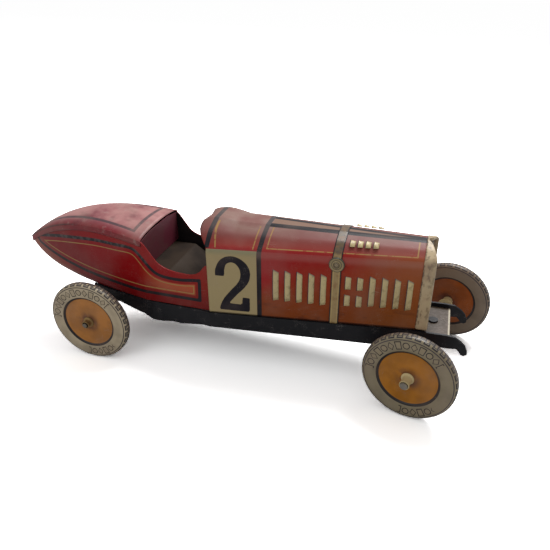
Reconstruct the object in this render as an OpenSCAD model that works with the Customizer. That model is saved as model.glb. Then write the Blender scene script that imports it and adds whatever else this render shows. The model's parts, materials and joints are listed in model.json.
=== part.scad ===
// Wind-up tinplate racing car: boat tail, louvred bonnet, steerable front axle, clockwork drive.
// Millimetres. +X forward, +Y to the driver's left, +Z up. Ground at Z = 0.
// Lengths along the car are laid out from the steering pivot, then moved by x_mid.

/* [Wheels and axles] */
// Distance from the steering pivot to the rear axle
wheelbase = 227; // [190:0.1:273]
// Distance over the outer faces of the front tyres, along the front axle
front_track = 108.7; // [104:0.1:118]
// Distance over the outer faces of the rear tyres
rear_track = 106.6; // [102:0.1:116]
// Diameter over the tyre tread
wheel_d = 58; // [54:0.5:64]
// Width of a wheel over both pressed halves
wheel_w = 7.5; // [6.5:0.1:9]
// Radius of the disc that carries the dark ring
disc_r = 18.6; // [15:0.1:20]
// Angle of the front axle at rest, from straight ahead
steer_rest = -12; // [-20:1:0]
// Radius of the front axle rod
front_rod_r = 1.5; // [1.2:0.05:2]
// Radius of the rear axle rod
rear_rod_r = 1.6; // [1.3:0.05:2]
// Radial clearance of every turning fit
run_gap = 0.05; // [0.02:0.01:0.1]

/* [Body] */
// Sheet thickness of the pressed body panels
sheet = 0.8; // [0.6:0.05:1.2]
// Half width of the body at the back of the scuttle
scuttle_half_w = 30.7; // [28:0.1:33]
// Half width of the bonnet where it meets the radiator
nose_half_w = 18.8; // [17:0.1:20]
// Height of the scuttle's side crease
crease_rear_z = 86; // [80:0.5:90]
// Height of the bonnet's side crease at the radiator
crease_front_z = 90.2; // [86:0.1:92]
// Height of the bonnet's top strip
bonnet_top_z = 97.6; // [94:0.1:104]
// Height of the scuttle's rim at the centre
rim_top_z = 101.2; // [98:0.1:108]
// Height of the tail deck at the cockpit
deck_z = 84.4; // [78:0.1:90]
// Height of the tail's point
tip_z = 62; // [54:0.5:70]
// Half width of the tail at the cockpit
tail_half_w = 28.5; // [24:0.1:29]
// Length of the tail behind the cockpit
tail_len = 110.6; // [100:0.1:133]
// Length of the cockpit from the scuttle to the tail deck
cockpit_len = 47.8; // [40:0.1:58]
// Height of the motor cover, the floor of the cockpit
cover_z = 61.6; // [58:0.1:62]

/* [Chassis] */
// Height of the rail's lower edge under the body
rail_low_z = 27.4; // [24:0.1:30]
// Height of the body seat on the rails
seat_z = 38.6; // [36:0.1:41]
// Thickness of a folded rail
rail_t = 1.6; // [1:0.1:2.4]
// Ledge of the rail outside the body side
ledge = 0.7; // [0.4:0.1:1.5]
// Half width over the dumb irons
iron_half_w = 20.1; // [19:0.1:22]
// Radius of the steering pin
pin_r = 1.5; // [1.2:0.05:2]

/* [Clockwork] */
// Teeth on the great wheel
great_teeth = 48; // [40:1:56]
// Teeth on the second pinion
pinion_teeth = 12; // [10:1:14]
// Teeth on the second wheel
second_teeth = 36; // [32:1:40]
// Teeth on the rear axle pinion
axle_teeth = 14; // [12:1:16]
// Module of the great wheel pair
mod_a = 0.7; // [0.6:0.05:0.8]
// Module of the axle pair
mod_b = 0.6; // [0.5:0.05:0.7]
// Radius of the winding arbor
arbor_r = 2.2; // [1.8:0.05:2.6]
// Distance between the motor plates' inner faces
plate_gap = 24; // [22:0.5:26]

/* [Hidden] */
$fn = 48;
fit_gap = 0.02;

wheel_r = wheel_d / 2;
axle_z = wheel_r;
tread_half = 1.6;
// stations along the car, from the steering pivot
x_rear = -wheelbase;
x_deck = x_rear + 33.6;
x_scuttle = x_deck + cockpit_len;
x_tip = x_deck - tail_len;
x_nose = -10.4;
x_rail_end = x_rear - 13;
apron_z = seat_z;
bracket_z = axle_z + 4.4;
tail_lift = 23.3;
flange = 4.5;
deck_sheet = 0.6;
// overall length: tail point to the foremost point of the turned left wheel
left_hub_x = -(front_track - wheel_w) / 2 * sin(steer_rest);
x_front = left_hub_x + max(wheel_r * cos(steer_rest) - tread_half * sin(steer_rest),
  (wheel_r - 2) * cos(steer_rest) - wheel_w / 2 * sin(steer_rest));
x_mid = -(x_front + x_tip) / 2;

function lerp(a, b, s) = a + (b - a) * s;
function clamp01(s) = max(0, min(1, s));
// bonnet side: half width, crease and top strip as straight lines in plan and elevation
function nose_s(x) = (x - x_scuttle) / (-10 - x_scuttle);
function side_w(x) = lerp(scuttle_half_w, nose_half_w, nose_s(x));
function crease_z(x) = lerp(crease_rear_z, crease_front_z, nose_s(x));
function strip_w(x) = lerp(8, 2, nose_s(x));
function strip_z(x) = lerp(bonnet_top_z, bonnet_top_z - 1, nose_s(x));
function seat(x) = seat_z + (x < x_scuttle ? tail_lift * pow(tail_u(x), 2.6) : 0.0255 * (x - x_scuttle));
// tail: plan and elevation curves over u = 0 at the cockpit to 1 at the point
function tail_u(x) = clamp01((x_deck - x) / tail_len);
function tail_w(x) = x > x_deck
  ? lerp(tail_half_w, scuttle_half_w - sheet - 0.5, (x - x_deck) / (x_scuttle - x_deck))
  : tail_half_w * pow(max(1 - tail_u(x), 0.0001), 0.58);
function deck_edge(x) = tip_z + (deck_z - tip_z) * (1 - pow(tail_u(x), 2)) * (1 + 0.845 * tail_u(x));
function belly_z(x) = seat(x) + 0.2;
function crown(x) = 2.8 + 3 * sin(180 * tail_u(x)) - 2.8 * tail_u(x);
function rail_w(x) = x < x_scuttle ? tail_w(x) + ledge + lerp(0.4, 0, clamp01((x_scuttle - x) / 40))
  : max(iron_half_w, side_w(x) + ledge);

// stands a profile drawn in X and Z upright between two Y values
module slab(y0, y1) {
  translate([0, y1, 0]) rotate([90, 0, 0]) linear_extrude(y1 - y0) children();
}

// turns a part whose axis is Z so the axis runs along +Y
module along_y() {
  rotate([-90, 0, 0]) children();
}

// joins equal rings of points into one closed skin; each ring is a band, outer run then inner run
module band_loft(rings) {
  n = len(rings[0]);
  m = len(rings);
  h = n / 2;
  pts = [for (r = rings) for (p = r) p];
  sides = [for (i = [0:m - 2]) for (j = [0:n - 1])
    let (a = i * n + j, b = i * n + (j + 1) % n)
    each [[a, b, b + n], [a, b + n, a + n]]];
  back = [for (j = [0:h - 2]) each [[j, n - 1 - j, n - 2 - j], [j, n - 2 - j, j + 1]]];
  front = [for (f = back) [for (k = [2:-1:0]) f[k] + (m - 1) * n]];
  polyhedron(points = pts, faces = [for (f = concat(sides, back, front)) [f[0], f[1], f[2]]], convexity = 8);
}

// half section of the bonnet, right side, lowest point first: [x, y, z]
function bonnet_half(x, o) = [
  [x, -(side_w(x) - o), seat(x) + 0.2],
  [x, -(side_w(x) - o), crease_z(x) - 0.4 * o],
  [x, -(lerp(side_w(x), strip_w(x), 0.5) - 0.45 * o), lerp(crease_z(x), strip_z(x), 0.5) - 0.95 * o],
  [x, -(strip_w(x) - 0.2 * o), strip_z(x) - 1.02 * o],
  [x, 0, strip_z(x) - o]];
// scuttle sections: the rim leans back over the cockpit and the roof rounds up; s = 1 at the rim
function scuttle_half(s, o) = let (x = lerp(x_scuttle + 15.6, x_scuttle, s), b = bonnet_half(x, o), q = s * s) [
  b[0],
  b[1],
  b[2] + [-8.2 * q, -5.2 * q, 3.9 * q],
  b[3] + [-5.6 * q, -4.2 * q, (rim_top_z - bonnet_top_z - 1.2) * q],
  b[4] + [-4.4 * q, 0, (rim_top_z - bonnet_top_z) * q]];
function mirror_y(p) = [p[0], -p[1], p[2]];
function full(h) = concat(h, [for (k = [3:-1:0]) mirror_y(h[k])]);
function ring(a, b) = concat(full(a), [for (k = [8:-1:0]) full(b)[k]]);

// tail section, right side, from the top edge down to the keel
function tail_side(x, o) = let (w = tail_w(x), oy = min(o, 0.45 * w), e = deck_edge(x), k = belly_z(x),
    oz = min(o, 0.3 * (e - k)), c = 0.5 + 0.75 * w * pow(tail_u(x), 1.3)) [
  [x, -(w - oy), max(e - 0.6, k + 0.7 * (e - k))],
  [x, -(w - oy), k + oz + min(c, 0.55 * (e - k))],
  [x, -(w - oy - 0.33 * c), k + oz + 0.33 * min(c, 0.5 * (e - k))],
  [x, -max(w - oy - c, 0.1), k + oz]];
function tail_ring(x, t) = let (a = tail_side(x, 0), b = tail_side(x, t)) concat(
  a, [for (k = [3:-1:0]) mirror_y(a[k])], [for (k = [0:3]) mirror_y(b[k])], [for (k = [3:-1:0]) b[k]]);

// deck section, right side, from the flange's lower edge up to the crown
function deck_half(x, g) = let (w = tail_w(x), e = deck_edge(x), k = belly_z(x), c = crown(x)) [
  [x, -(w + g), max(e - flange, k + 0.2 * (e - k))],
  [x, -(w + g), e - 0.5],
  [x, -(0.93 * w + 0.7 * g), e + 0.16 * c + 0.8 * g],
  [x, -(0.6 * w + 0.3 * g), e + 0.66 * c + g],
  [x, 0, e + c + g]];

module gear(teeth, m, phase) {
  rp = teeth * m / 2;
  step = 360 / teeth;
  flanks = [[-0.31, -1.15], [-0.13, 0.8], [0.13, 0.8], [0.31, -1.15]];
  rotate(phase) polygon([for (k = [0:teeth - 1]) for (q = flanks)
    let (a = (k + q[0]) * step, r = rp + q[1] * m) [r * cos(a), r * sin(a)]]);
}

// ---------------------------------------------------------------- chassis
module plan(inset) {
  xs = [for (k = [0:15]) lerp(x_rail_end, x_scuttle, k / 15)];
  right = concat([for (x = xs) [x, -(rail_w(x) - inset)]],
    [[-8, -(iron_half_w - inset)], [24, -(iron_half_w - inset)]]);
  polygon(concat(right, [for (k = [len(right) - 1:-1:0]) [right[k][0], -right[k][1]]]));
}

seat_xs = [x_rear, x_rear + 6, x_rear + 14, x_deck, x_scuttle];
floor_xs = concat([x_rail_end + 2], seat_xs, [-4.8]);
// side view of a rail with its dumb iron and the low lugs beside the motor
module rail_view() {
  top = [for (x = concat([x_rail_end], seat_xs, [-4])) [x, seat(x)]];
  iron = [[8, 42.4], [13.6, 41.9], [18, 39.2], [20.8, 36.4], [22.4, 32.6], [22.5, 30.6], [20.6, 29.2],
    [18.6, 29.8], [17.4, 31.8], [15.6, 33.6], [10.2, 33]];
  lugs = [[77, -0.2], [65, -1.8], [59, -2.8], [53, -2.2], [45, -3.6], [37, -3.8], [30, -0.2], [21, 1.4]];
  low = concat([[-14, 32.8], [-28, rail_low_z + 1.2]], [for (p = lugs) [x_rear + p[0], rail_low_z + p[1]]],
    [[x_rear + 2, 33.5], [x_rail_end, 39.4]]);
  polygon(concat(top, iron, low));
}

module chassis_tray() color([0.09, 0.1, 0.12]) {
  difference() {
    union() {
      intersection() {
        difference() {
          linear_extrude(60) plan(0);
          translate([0, 0, -1]) linear_extrude(62) plan(rail_t);
        }
        slab(-40, 40) rail_view();
      }
      intersection() {
        linear_extrude(60) plan(0.4);
        slab(-40, 40) polygon(concat([for (x = floor_xs) [x, seat(x)]],
          [for (k = [len(floor_xs) - 1:-1:0]) [floor_xs[k], seat(floor_xs[k]) - 1.2]]));
      }
    }
    // opening for the motor
    translate([x_rear - 8, -plate_gap / 2 - plate_t - 0.1, 30]) cube([68, plate_gap + 2 * plate_t + 0.2, 20]);
    for (sx = feet_x) for (sy = [-1, 1])
      translate([sx, sy * (plate_gap / 2 + 5), 30]) cylinder(r = 1.25, h = 20);
  }
}

module front_apron() color([0.55, 0.48, 0.36]) {
  w = iron_half_w - rail_t - fit_gap;
  difference() {
    union() {
      translate([-4.6, -w, apron_z]) cube([15.4, 2 * w, 1]);
      translate([9.8, -w, apron_z - 3.4]) cube([1, 2 * w, 4.4]);
    }
    cylinder(r = pin_r, h = 60);
  }
}

module steering_pin() color([0.7, 0.7, 0.68]) {
  translate([0, 0, apron_z + 1.02]) cylinder(r = pin_r + 1.7, h = 1);
  translate([0, 0, bracket_z - 1]) cylinder(r = pin_r - 0.01, h = apron_z - bracket_z + 2.4);
  translate([0, 0, bracket_z + 1.36]) cylinder(r = pin_r + 1.5, h = apron_z - bracket_z - 1.4);
  translate([0, 0, bracket_z - 1.2]) cylinder(r = pin_r + 1.3, h = 0.9);
}

// ---------------------------------------------------------------- body shells
tail_xs = concat([for (k = [0:11]) x_deck - tail_len * pow(k / 12, 0.85)], [x_deck - 0.985 * tail_len]);
module tail_shell() color([0.5, 0.07, 0.08]) {
  xs = concat([x_scuttle + 3, x_deck + 33.4, x_deck + 15.4], tail_xs);
  difference() {
    band_loft([for (x = xs) tail_ring(x, sheet)]);
    // open underneath over the tray and the motor
    translate([x_rail_end + 6, -40, seat_z - 20]) cube([200, 80, 21.8]);
    translate([x_rail_end + 6, -plate_gap / 2 - 5, seat_z - 20]) cube([200, plate_gap + 10, 31.4]);
    // cockpit sides
    slab(-50, 50) polygon([[x_deck + 0.01, 105], [x_deck + 0.01, deck_z - 0.8], [x_deck + 6.9, 74.5],
      [x_deck + 14.1, cover_z + 5.8], [x_deck + 24.1, cover_z + 3.3], [x_scuttle - 14.4, cover_z + 2.8],
      [x_scuttle - 7.9, cover_z + 4.6], [x_scuttle - 4.4, cover_z + 7.9], [x_scuttle - 2.8, cover_z + 11.4],
      [x_scuttle + 5.6, cover_z + 11.4], [x_scuttle + 5.6, 105]]);
    // way out for the winding arbor on the left
    translate([arbor_x, 0, 0]) slab(0, 50) union() {
      translate([0, arbor_z]) circle(r = arbor_r + 0.9);
      translate([-arbor_r - 0.9, seat_z - 20]) square([2 * arbor_r + 1.8, arbor_z - seat_z + 20]);
    }
  }
}

module tail_deck() color([0.5, 0.22, 0.26]) {
  xs = concat(tail_xs, [x_tip]);
  band_loft([for (x = xs) concat(full(deck_half(x, deck_sheet)),
    [for (k = [8:-1:0]) full(deck_half(x, 0.06))[k]])]);
}

module cockpit_bulkhead() color([0.34, 0.08, 0.14]) {
  w = tail_half_w - sheet - 0.25;
  low = cover_z + 0.1;
  translate([x_deck - 1.2, 0, 0]) rotate([90, 0, 90]) linear_extrude(1)
    polygon([[-w, low], [w, low], [w, deck_z - 1.4], [0.5 * w, deck_z + 1], [-0.5 * w, deck_z + 1],
      [-w, deck_z - 1.4]]);
}

module motor_cover() color([0.3, 0.25, 0.2]) {
  t = 0.9;
  x0 = x_deck - 20.6;
  x1 = x_deck + 16.4;
  x2 = x_deck + 33.4;
  foot = seat(x2) + fit_gap;
  slab(-22, 22) polygon([[x0, cover_z], [x1, cover_z], [x2, cover_z - 11.6], [x2, foot], [x2 - t, foot],
    [x2 - t, cover_z - 11.6 - t / 2], [x1 - t / 2, cover_z - t], [x0, cover_z - t]]);
}

module bonnet_shell() color([0.55, 0.17, 0.14]) {
  xs = [x_scuttle + 15.6, x_scuttle + 47.6, strap_x[0], strap_x[1], -35, x_nose];
  scuttle_rings = [for (k = [6:-1:1]) ring(scuttle_half(k / 6, 0), scuttle_half(k / 6, sheet))];
  band_loft(concat(scuttle_rings, [for (x = xs) ring(bonnet_half(x, 0), bonnet_half(x, sheet))]));
}

side_lean = atan((scuttle_half_w - nose_half_w) / (-10 - x_scuttle));
module louvre_bar(len) {
  linear_extrude(len) polygon([[-2.1, fit_gap], [2.1, fit_gap], [1.2, -1.2], [-1.2, -1.2]]);
}

// right-hand set; y is measured outwards from the side panel
module louvre_set() {
  // first place, pitch, count, lower end and length of each row
  groups = [[-100.1, 7.6, 5, 53, 23], [-54.5, 7.4, 2, 66.4, 9.6], [-54.5, 7.4, 2, 54.4, 8.6],
    [-39.6, 7.55, 4, 55.6, 22]];
  for (g = groups) for (k = [0:g[2] - 1]) let (x = g[0] + k * g[1])
    translate([x, -side_w(x) - 2 * fit_gap, g[3]]) rotate([0, 0, side_lean]) louvre_bar(g[4]);
}

module bonnet_louvres() color([0.66, 0.6, 0.42]) {
  louvre_set();
  mirror([0, 1, 0]) louvre_set();
}

strap_x = [-65, -59];
module bonnet_strap() color([0.6, 0.52, 0.36]) {
  rings = [for (x = strap_x) ring(bonnet_half(x, -0.6), bonnet_half(x, -0.08))];
  band_loft(rings);
}

module strap_buckles() color([0.58, 0.5, 0.36]) {
  for (m = [0, 1]) mirror([0, m, 0]) translate([-62, -side_w(-62) - 0.68, 83.6]) rotate([90, 0, side_lean]) {
    cylinder(r = 4.9, h = 1);
    cylinder(r = 2.2, h = 1.8);
  }
}

// ---------------------------------------------------------------- radiator
module nose_outline(g) {
  w = nose_half_w + 0.5 + g;
  low = seat(x_nose) + 0.75;
  side = crease_front_z + 0.4 + 0.4 * g;
  top = bonnet_top_z - 0.6 + g;
  polygon([[-w, low], [-w, side], [-4, top], [4, top], [w, side], [w, low]]);
}

module radiator_shell() color([0.63, 0.55, 0.42]) {
  depth = 9.8;
  round_r = 6.5;
  intersection() {
    translate([-13.2, 0, 0]) rotate([90, 0, 90]) difference() {
      linear_extrude(depth) nose_outline(0.9);
      translate([0, 0, -1]) linear_extrude(depth) nose_outline(0);
      translate([0, 0, -1]) linear_extrude(depth + 5)
        polygon([[-14.5, 50], [14.5, 50], [14.5, 86], [0, 90], [-14.5, 86]]);
    }
    slab(-40, 40) union() {
      translate([-20, 30]) square([16.6 - round_r, 90]);
      translate([-20, 30]) square([16.6, bonnet_top_z - 29.7 - round_r]);
      translate([-3.4 - round_r, bonnet_top_z + 0.3 - round_r]) circle(r = round_r);
    }
  }
}

module radiator_core() color([0.12, 0.11, 0.1]) {
  w = nose_half_w - 0.2;
  low = seat(x_nose) + 2;
  translate([-6.2, 0, 0]) rotate([90, 0, 90]) linear_extrude(1.2)
    polygon([[-w, low], [-w, crease_front_z - 4.2], [0, bonnet_top_z - 6.6], [w, crease_front_z - 4.2],
      [w, low]]);
}

// ---------------------------------------------------------------- clockwork
lift_b = 30;
lift_a = 15;
dist_b = (second_teeth + axle_teeth) * mod_b / 2;
dist_a = (great_teeth + pinion_teeth) * mod_a / 2;
second_x = x_rear + dist_b * cos(lift_b);
second_z = axle_z + dist_b * sin(lift_b);
arbor_x = second_x + dist_a * cos(lift_a);
arbor_z = second_z + dist_a * sin(lift_a);
plate_t = 1;
second_rod_r = 1.2;
feet_x = [x_rear + 6, x_rear + 48];

module motor_plate(s) {
  y0 = s > 0 ? plate_gap / 2 : -plate_gap / 2 - plate_t;
  difference() {
    union() {
      slab(y0, y0 + plate_t) translate([x_rear, axle_z]) polygon([[-6.5, -6], [22, -6.5], [52, -3], [57, 5],
        [57, 23], [48, 28], [13, 28], [-4, 17], [-6.5, 9]]);
      for (fx = feet_x) translate([fx - 4, s > 0 ? plate_gap / 2 : -plate_gap / 2 - 9, seat_z - 2.3])
        cube([8, 9, 1]);
    }
    translate([x_rear, y0 - 1, axle_z]) along_y() cylinder(r = rear_rod_r + run_gap, h = plate_t + 2);
    translate([second_x, y0 - 1, second_z]) along_y() cylinder(r = second_rod_r + run_gap, h = plate_t + 2);
    translate([arbor_x, y0 - 1, arbor_z]) along_y() cylinder(r = arbor_r + run_gap, h = plate_t + 2);
    for (fx = feet_x) translate([fx, s * (plate_gap / 2 + 5), 30]) cylinder(r = 1.25, h = 20);
    for (p = pillar_at) translate([p[0], y0 - 1, p[1]]) along_y() cylinder(r = 0.9, h = plate_t + 2);
  }
}

pillar_at = [for (p = [[-3, 10.5], [54, 1], [54, 21], [4.5, 19.5]]) [x_rear + p[0], axle_z + p[1]]];

module motor_plate_right() color([0.55, 0.53, 0.48]) motor_plate(-1);
module motor_plate_left() color([0.55, 0.53, 0.48]) motor_plate(1);

module motor_pillars() color([0.6, 0.58, 0.5]) {
  for (p = pillar_at) translate([p[0], 0, p[1]]) {
    translate([0, -plate_gap / 2 + fit_gap, 0]) along_y() cylinder(r = 1.4, h = plate_gap - 2 * fit_gap);
    translate([0, -plate_gap / 2 - plate_t - 0.05, 0]) along_y() cylinder(r = 0.88, h = plate_gap + 2 * plate_t + 0.1);
  }
}

// the gear train stands off the right plate
train_y = 12 - plate_gap / 2;

module motor_rivets() color([0.62, 0.6, 0.55]) {
  for (fx = feet_x) for (s = [-1, 1]) translate([fx, s * (plate_gap / 2 + 5), 0]) {
    translate([0, 0, seat_z - 3.2]) cylinder(r = 2, h = 0.8);
    translate([0, 0, seat_z - 2.5]) cylinder(r = 1.2, h = seat(fx) - seat_z + 3);
    translate([0, 0, seat(fx) + 0.18]) cylinder(r = 2.2, h = 0.8);
  }
}

module axle_pinion() color([0.72, 0.58, 0.3]) {
  translate([x_rear, train_y, axle_z]) slab(-7, -4) difference() {
    gear(axle_teeth, mod_b, lift_b);
    circle(r = rear_rod_r + 0.01);
  }
}

module second_arbor() color([0.6, 0.6, 0.6]) {
  translate([second_x, -plate_gap / 2 - 1.6, second_z]) along_y()
    cylinder(r = second_rod_r, h = plate_gap + 3.2);
}

module second_wheel() color([0.72, 0.58, 0.3]) {
  translate([second_x, train_y, second_z]) slab(-6.2, -4.8) difference() {
    gear(second_teeth, mod_b, lift_b + 180 + 180 / second_teeth);
    circle(r = second_rod_r + 0.01);
  }
}

module second_pinion() color([0.62, 0.6, 0.55]) {
  translate([second_x, train_y, second_z]) slab(-11.2, -8.2) difference() {
    gear(pinion_teeth, mod_a, lift_a);
    circle(r = second_rod_r + 0.01);
  }
}

module great_wheel() color([0.74, 0.6, 0.32]) {
  translate([arbor_x, train_y, arbor_z]) slab(-10.4, -9) difference() {
    gear(great_teeth, mod_a, lift_a + 180 + 180 / great_teeth);
    circle(r = arbor_r + run_gap);
    translate([0, 11]) circle(r = 1.02);
  }
}

ratchet_teeth = 12;
ratchet_r = arbor_r + 4.8;

// saw-tooth wheel; the steep faces stop the click
module ratchet_wheel() color([0.6, 0.6, 0.62]) {
  step = 360 / ratchet_teeth;
  translate([arbor_x, train_y, arbor_z]) slab(-8.7, -7.2) difference() {
    polygon([for (k = [0:ratchet_teeth - 1])
      for (q = [[0, ratchet_r], [0.12, ratchet_r - 1.7], [0.5, ratchet_r - 1.1]])
        [q[1] * cos((k + q[0]) * step), q[1] * sin((k + q[0]) * step)]]);
    circle(r = arbor_r + 0.01);
  }
}

// pawl on the great wheel, its nose in a ratchet gap
module click() color([0.58, 0.58, 0.6]) {
  translate([arbor_x, train_y, arbor_z]) slab(-8.7, -7.3) difference() {
    union() {
      translate([0, 11]) circle(r = 2.2);
      polygon([[-1.2, 9.4], [2.2, 5.55], [3, 6.4], [1.6, 11.6]]);
    }
    translate([0, 11]) circle(r = 1.02);
  }
}

module click_rivet() color([0.7, 0.7, 0.7]) {
  translate([arbor_x, train_y - 10.8, arbor_z + 11]) along_y() {
    translate([0, 0, -0.2]) cylinder(r = 1.8, h = 0.58);
    cylinder(r = 1, h = 4);
    translate([0, 0, 3.6]) cylinder(r = 1.8, h = 0.5);
  }
}

module winding_arbor() color([0.55, 0.55, 0.57]) {
  translate([arbor_x, -plate_gap / 2 - 1.8, arbor_z]) along_y()
    cylinder(r = arbor_r, h = plate_gap / 2 + 36.7);
}

spring_steps = 90;
function spring_r(k) = arbor_r + 0.3 + (14 - arbor_r - 0.8) * k / spring_steps;

module mainspring() color([0.3, 0.33, 0.42]) {
  n = spring_steps;
  t = 0.45;
  translate([arbor_x, 0, arbor_z]) slab(train_y - 4.2, plate_gap / 2 - 2) polygon(concat(
    [for (k = [0:n]) [spring_r(k) * cos(k * 20), spring_r(k) * sin(k * 20)]],
    [for (k = [n:-1:0]) [(spring_r(k) + t) * cos(k * 20), (spring_r(k) + t) * sin(k * 20)]]));
}

module winding_key() color([0.5, 0.47, 0.4]) {
  translate([arbor_x, 0, arbor_z]) {
    difference() {
      translate([0, 30.2, 0]) along_y() cylinder(r = 3.6, h = 6.4);
      translate([0, 29, 0]) along_y() cylinder(r = arbor_r + 0.01, h = 6);
    }
    difference() {
      translate([0, 0, -0.75]) linear_extrude(1.5) union() {
        translate([-2.4, 35.4]) square([4.8, 9.4]);
        for (s = [-1, 1]) translate([s * 6.2, 39.6]) circle(r = 5.3);
      }
      for (s = [-1, 1]) translate([s * 6.6, 39.6, -2]) cylinder(r = 2.6, h = 4);
    }
  }
}

// ---------------------------------------------------------------- wheels
// face profile: dished disc, bead, bulged tyre wall and half the tread
module wheel_face_view(t) {
  h = wheel_w / 2;
  polygon([[hub_tube_r, h - 1.4], [disc_r - 0.9, h - 1.4], [disc_r, h - 0.7], [disc_r + 5, h], [wheel_r - 2, h - 0.1],
    [wheel_r - 0.5, h - 1.1], [wheel_r, tread_half], [wheel_r, fit_gap], [wheel_r - t, fit_gap],
    [wheel_r - t, tread_half - 0.3], [wheel_r - 0.5 - t, h - 1.5], [wheel_r - 2.2, h - t], [disc_r + 5, h - t],
    [disc_r + 0.3, h - 0.7 - t], [disc_r - 0.6, h - 1.4 - t], [hub_tube_r, h - 1.4 - t]]);
}

hub_tube_r = 3.4;
wheel_sheet = 0.7;

module wheel_half() rotate_extrude($fn = 96) wheel_face_view(wheel_sheet);
module wheel_outer() color([0.5, 0.32, 0.14]) wheel_half();
module wheel_inner() color([0.42, 0.34, 0.24]) mirror([0, 0, 1]) wheel_half();

// hub tube along +Z outwards; out = reach beyond the outer face, inw = reach beyond the inner face
module hub_tube(out, inw, bore, cup) {
  h = wheel_w / 2;
  difference() {
    union() {
      translate([0, 0, -h - inw]) cylinder(r = hub_tube_r - 0.01, h = 2 * h + out + inw);
      translate([0, 0, -h - inw]) cylinder(r = cup, h = 1.2);
      translate([0, 0, h - 1.38]) cylinder(r = hub_tube_r + 1.4, h = 0.6);
    }
    translate([0, 0, -h - inw - 1]) cylinder(r = bore, h = 2 * h + out + inw + 2);
    if (out > 5) translate([0, 0, h + out - 3]) cylinder(r = 2.6, h = 4);
  }
}

// places a wheel part on the front axle; s = -1 right, 1 left
module on_front(s) {
  rotate([0, 0, steer_rest]) translate([0, s * (front_track - wheel_w) / 2, axle_z]) rotate([-90 * s, 0, 0])
    children();
}

module on_rear(s) {
  translate([x_rear, s * (rear_track - wheel_w) / 2, axle_z]) rotate([-90 * s, 0, 0]) children();
}

front_out = 9;
rear_out = 4.5;
module front_hub() hub_tube(front_out, 6.8, front_rod_r + run_gap, 6.3);
module rear_hub() hub_tube(rear_out, 3, rear_rod_r + 0.01, 4.6);
module front_wheel_right_outer() on_front(-1) wheel_outer();
module front_wheel_right_inner() on_front(-1) wheel_inner();
module front_wheel_right_hub() color([0.78, 0.72, 0.5]) on_front(-1) front_hub();
module front_wheel_left_outer() on_front(1) wheel_outer();
module front_wheel_left_inner() on_front(1) wheel_inner();
module front_wheel_left_hub() color([0.78, 0.72, 0.5]) on_front(1) front_hub();
module rear_wheel_right_outer() on_rear(-1) wheel_outer();
module rear_wheel_right_inner() on_rear(-1) wheel_inner();
module rear_wheel_right_hub() color([0.72, 0.6, 0.32]) on_rear(-1) rear_hub();
module rear_wheel_left_outer() on_rear(1) wheel_outer();
module rear_wheel_left_inner() on_rear(1) wheel_inner();
module rear_wheel_left_hub() color([0.72, 0.6, 0.32]) on_rear(1) rear_hub();

module rear_axle_rod() color([0.6, 0.6, 0.6]) {
  l = rear_track + 2 * rear_out - 1;
  translate([x_rear, -l / 2, axle_z]) along_y() cylinder(r = rear_rod_r, h = l);
}

module front_axle_rod() color([0.6, 0.6, 0.6]) rotate([0, 0, steer_rest]) {
  l = front_track + 2 * front_out - 4;
  translate([0, -l / 2, axle_z]) along_y() {
    cylinder(r = front_rod_r, h = l);
    // peened heads in the hub recesses keep the wheels on
    cylinder(r = 2.3, h = 0.9);
    translate([0, 0, l - 0.9]) cylinder(r = 2.3, h = 0.9);
  }
}

module axle_bracket() color([0.3, 0.3, 0.32]) rotate([0, 0, steer_rest]) difference() {
  union() {
    translate([-5, -14.5, bracket_z]) cube([10, 29, 1.3]);
    for (s = [-1, 1]) translate([-5, s * 13.8 - 0.7, axle_z - 4.2]) cube([10, 1.4, bracket_z - axle_z + 5]);
  }
  cylinder(r = pin_r + run_gap, h = 60);
  translate([0, -20, axle_z]) along_y() cylinder(r = front_rod_r + 0.01, h = 40);
}

translate([x_mid, 0, 0]) {
  chassis_tray();
  front_apron();
  steering_pin();
  tail_shell();
  tail_deck();
  cockpit_bulkhead();
  motor_cover();
  bonnet_shell();
  bonnet_louvres();
  bonnet_strap();
  strap_buckles();
  radiator_shell();
  radiator_core();
  motor_plate_right();
  motor_plate_left();
  motor_pillars();
  motor_rivets();
  axle_bracket();
  front_axle_rod();
  front_wheel_right_outer();
  front_wheel_right_inner();
  front_wheel_right_hub();
  front_wheel_left_outer();
  front_wheel_left_inner();
  front_wheel_left_hub();
  rear_axle_rod();
  rear_wheel_right_outer();
  rear_wheel_right_inner();
  rear_wheel_right_hub();
  rear_wheel_left_outer();
  rear_wheel_left_inner();
  rear_wheel_left_hub();
  axle_pinion();
  second_arbor();
  second_wheel();
  second_pinion();
  great_wheel();
  click();
  click_rivet();
  winding_arbor();
  ratchet_wheel();
  mainspring();
  winding_key();
}
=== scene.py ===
"""Finish of a wind-up tinplate racing car, built round its packed mechanical frame.

Shapes are worked out in millimetres from the steering pivot (x forward, y to the driver's left, z up)
and set in the frame's metres when each mesh is made.
"""

import json
import logging
import math
from dataclasses import dataclass
from enum import Enum
from typing import Callable, Optional, Sequence, Union

import bmesh
import bpy
import numpy as np
from mathutils import Matrix, Vector


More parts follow.
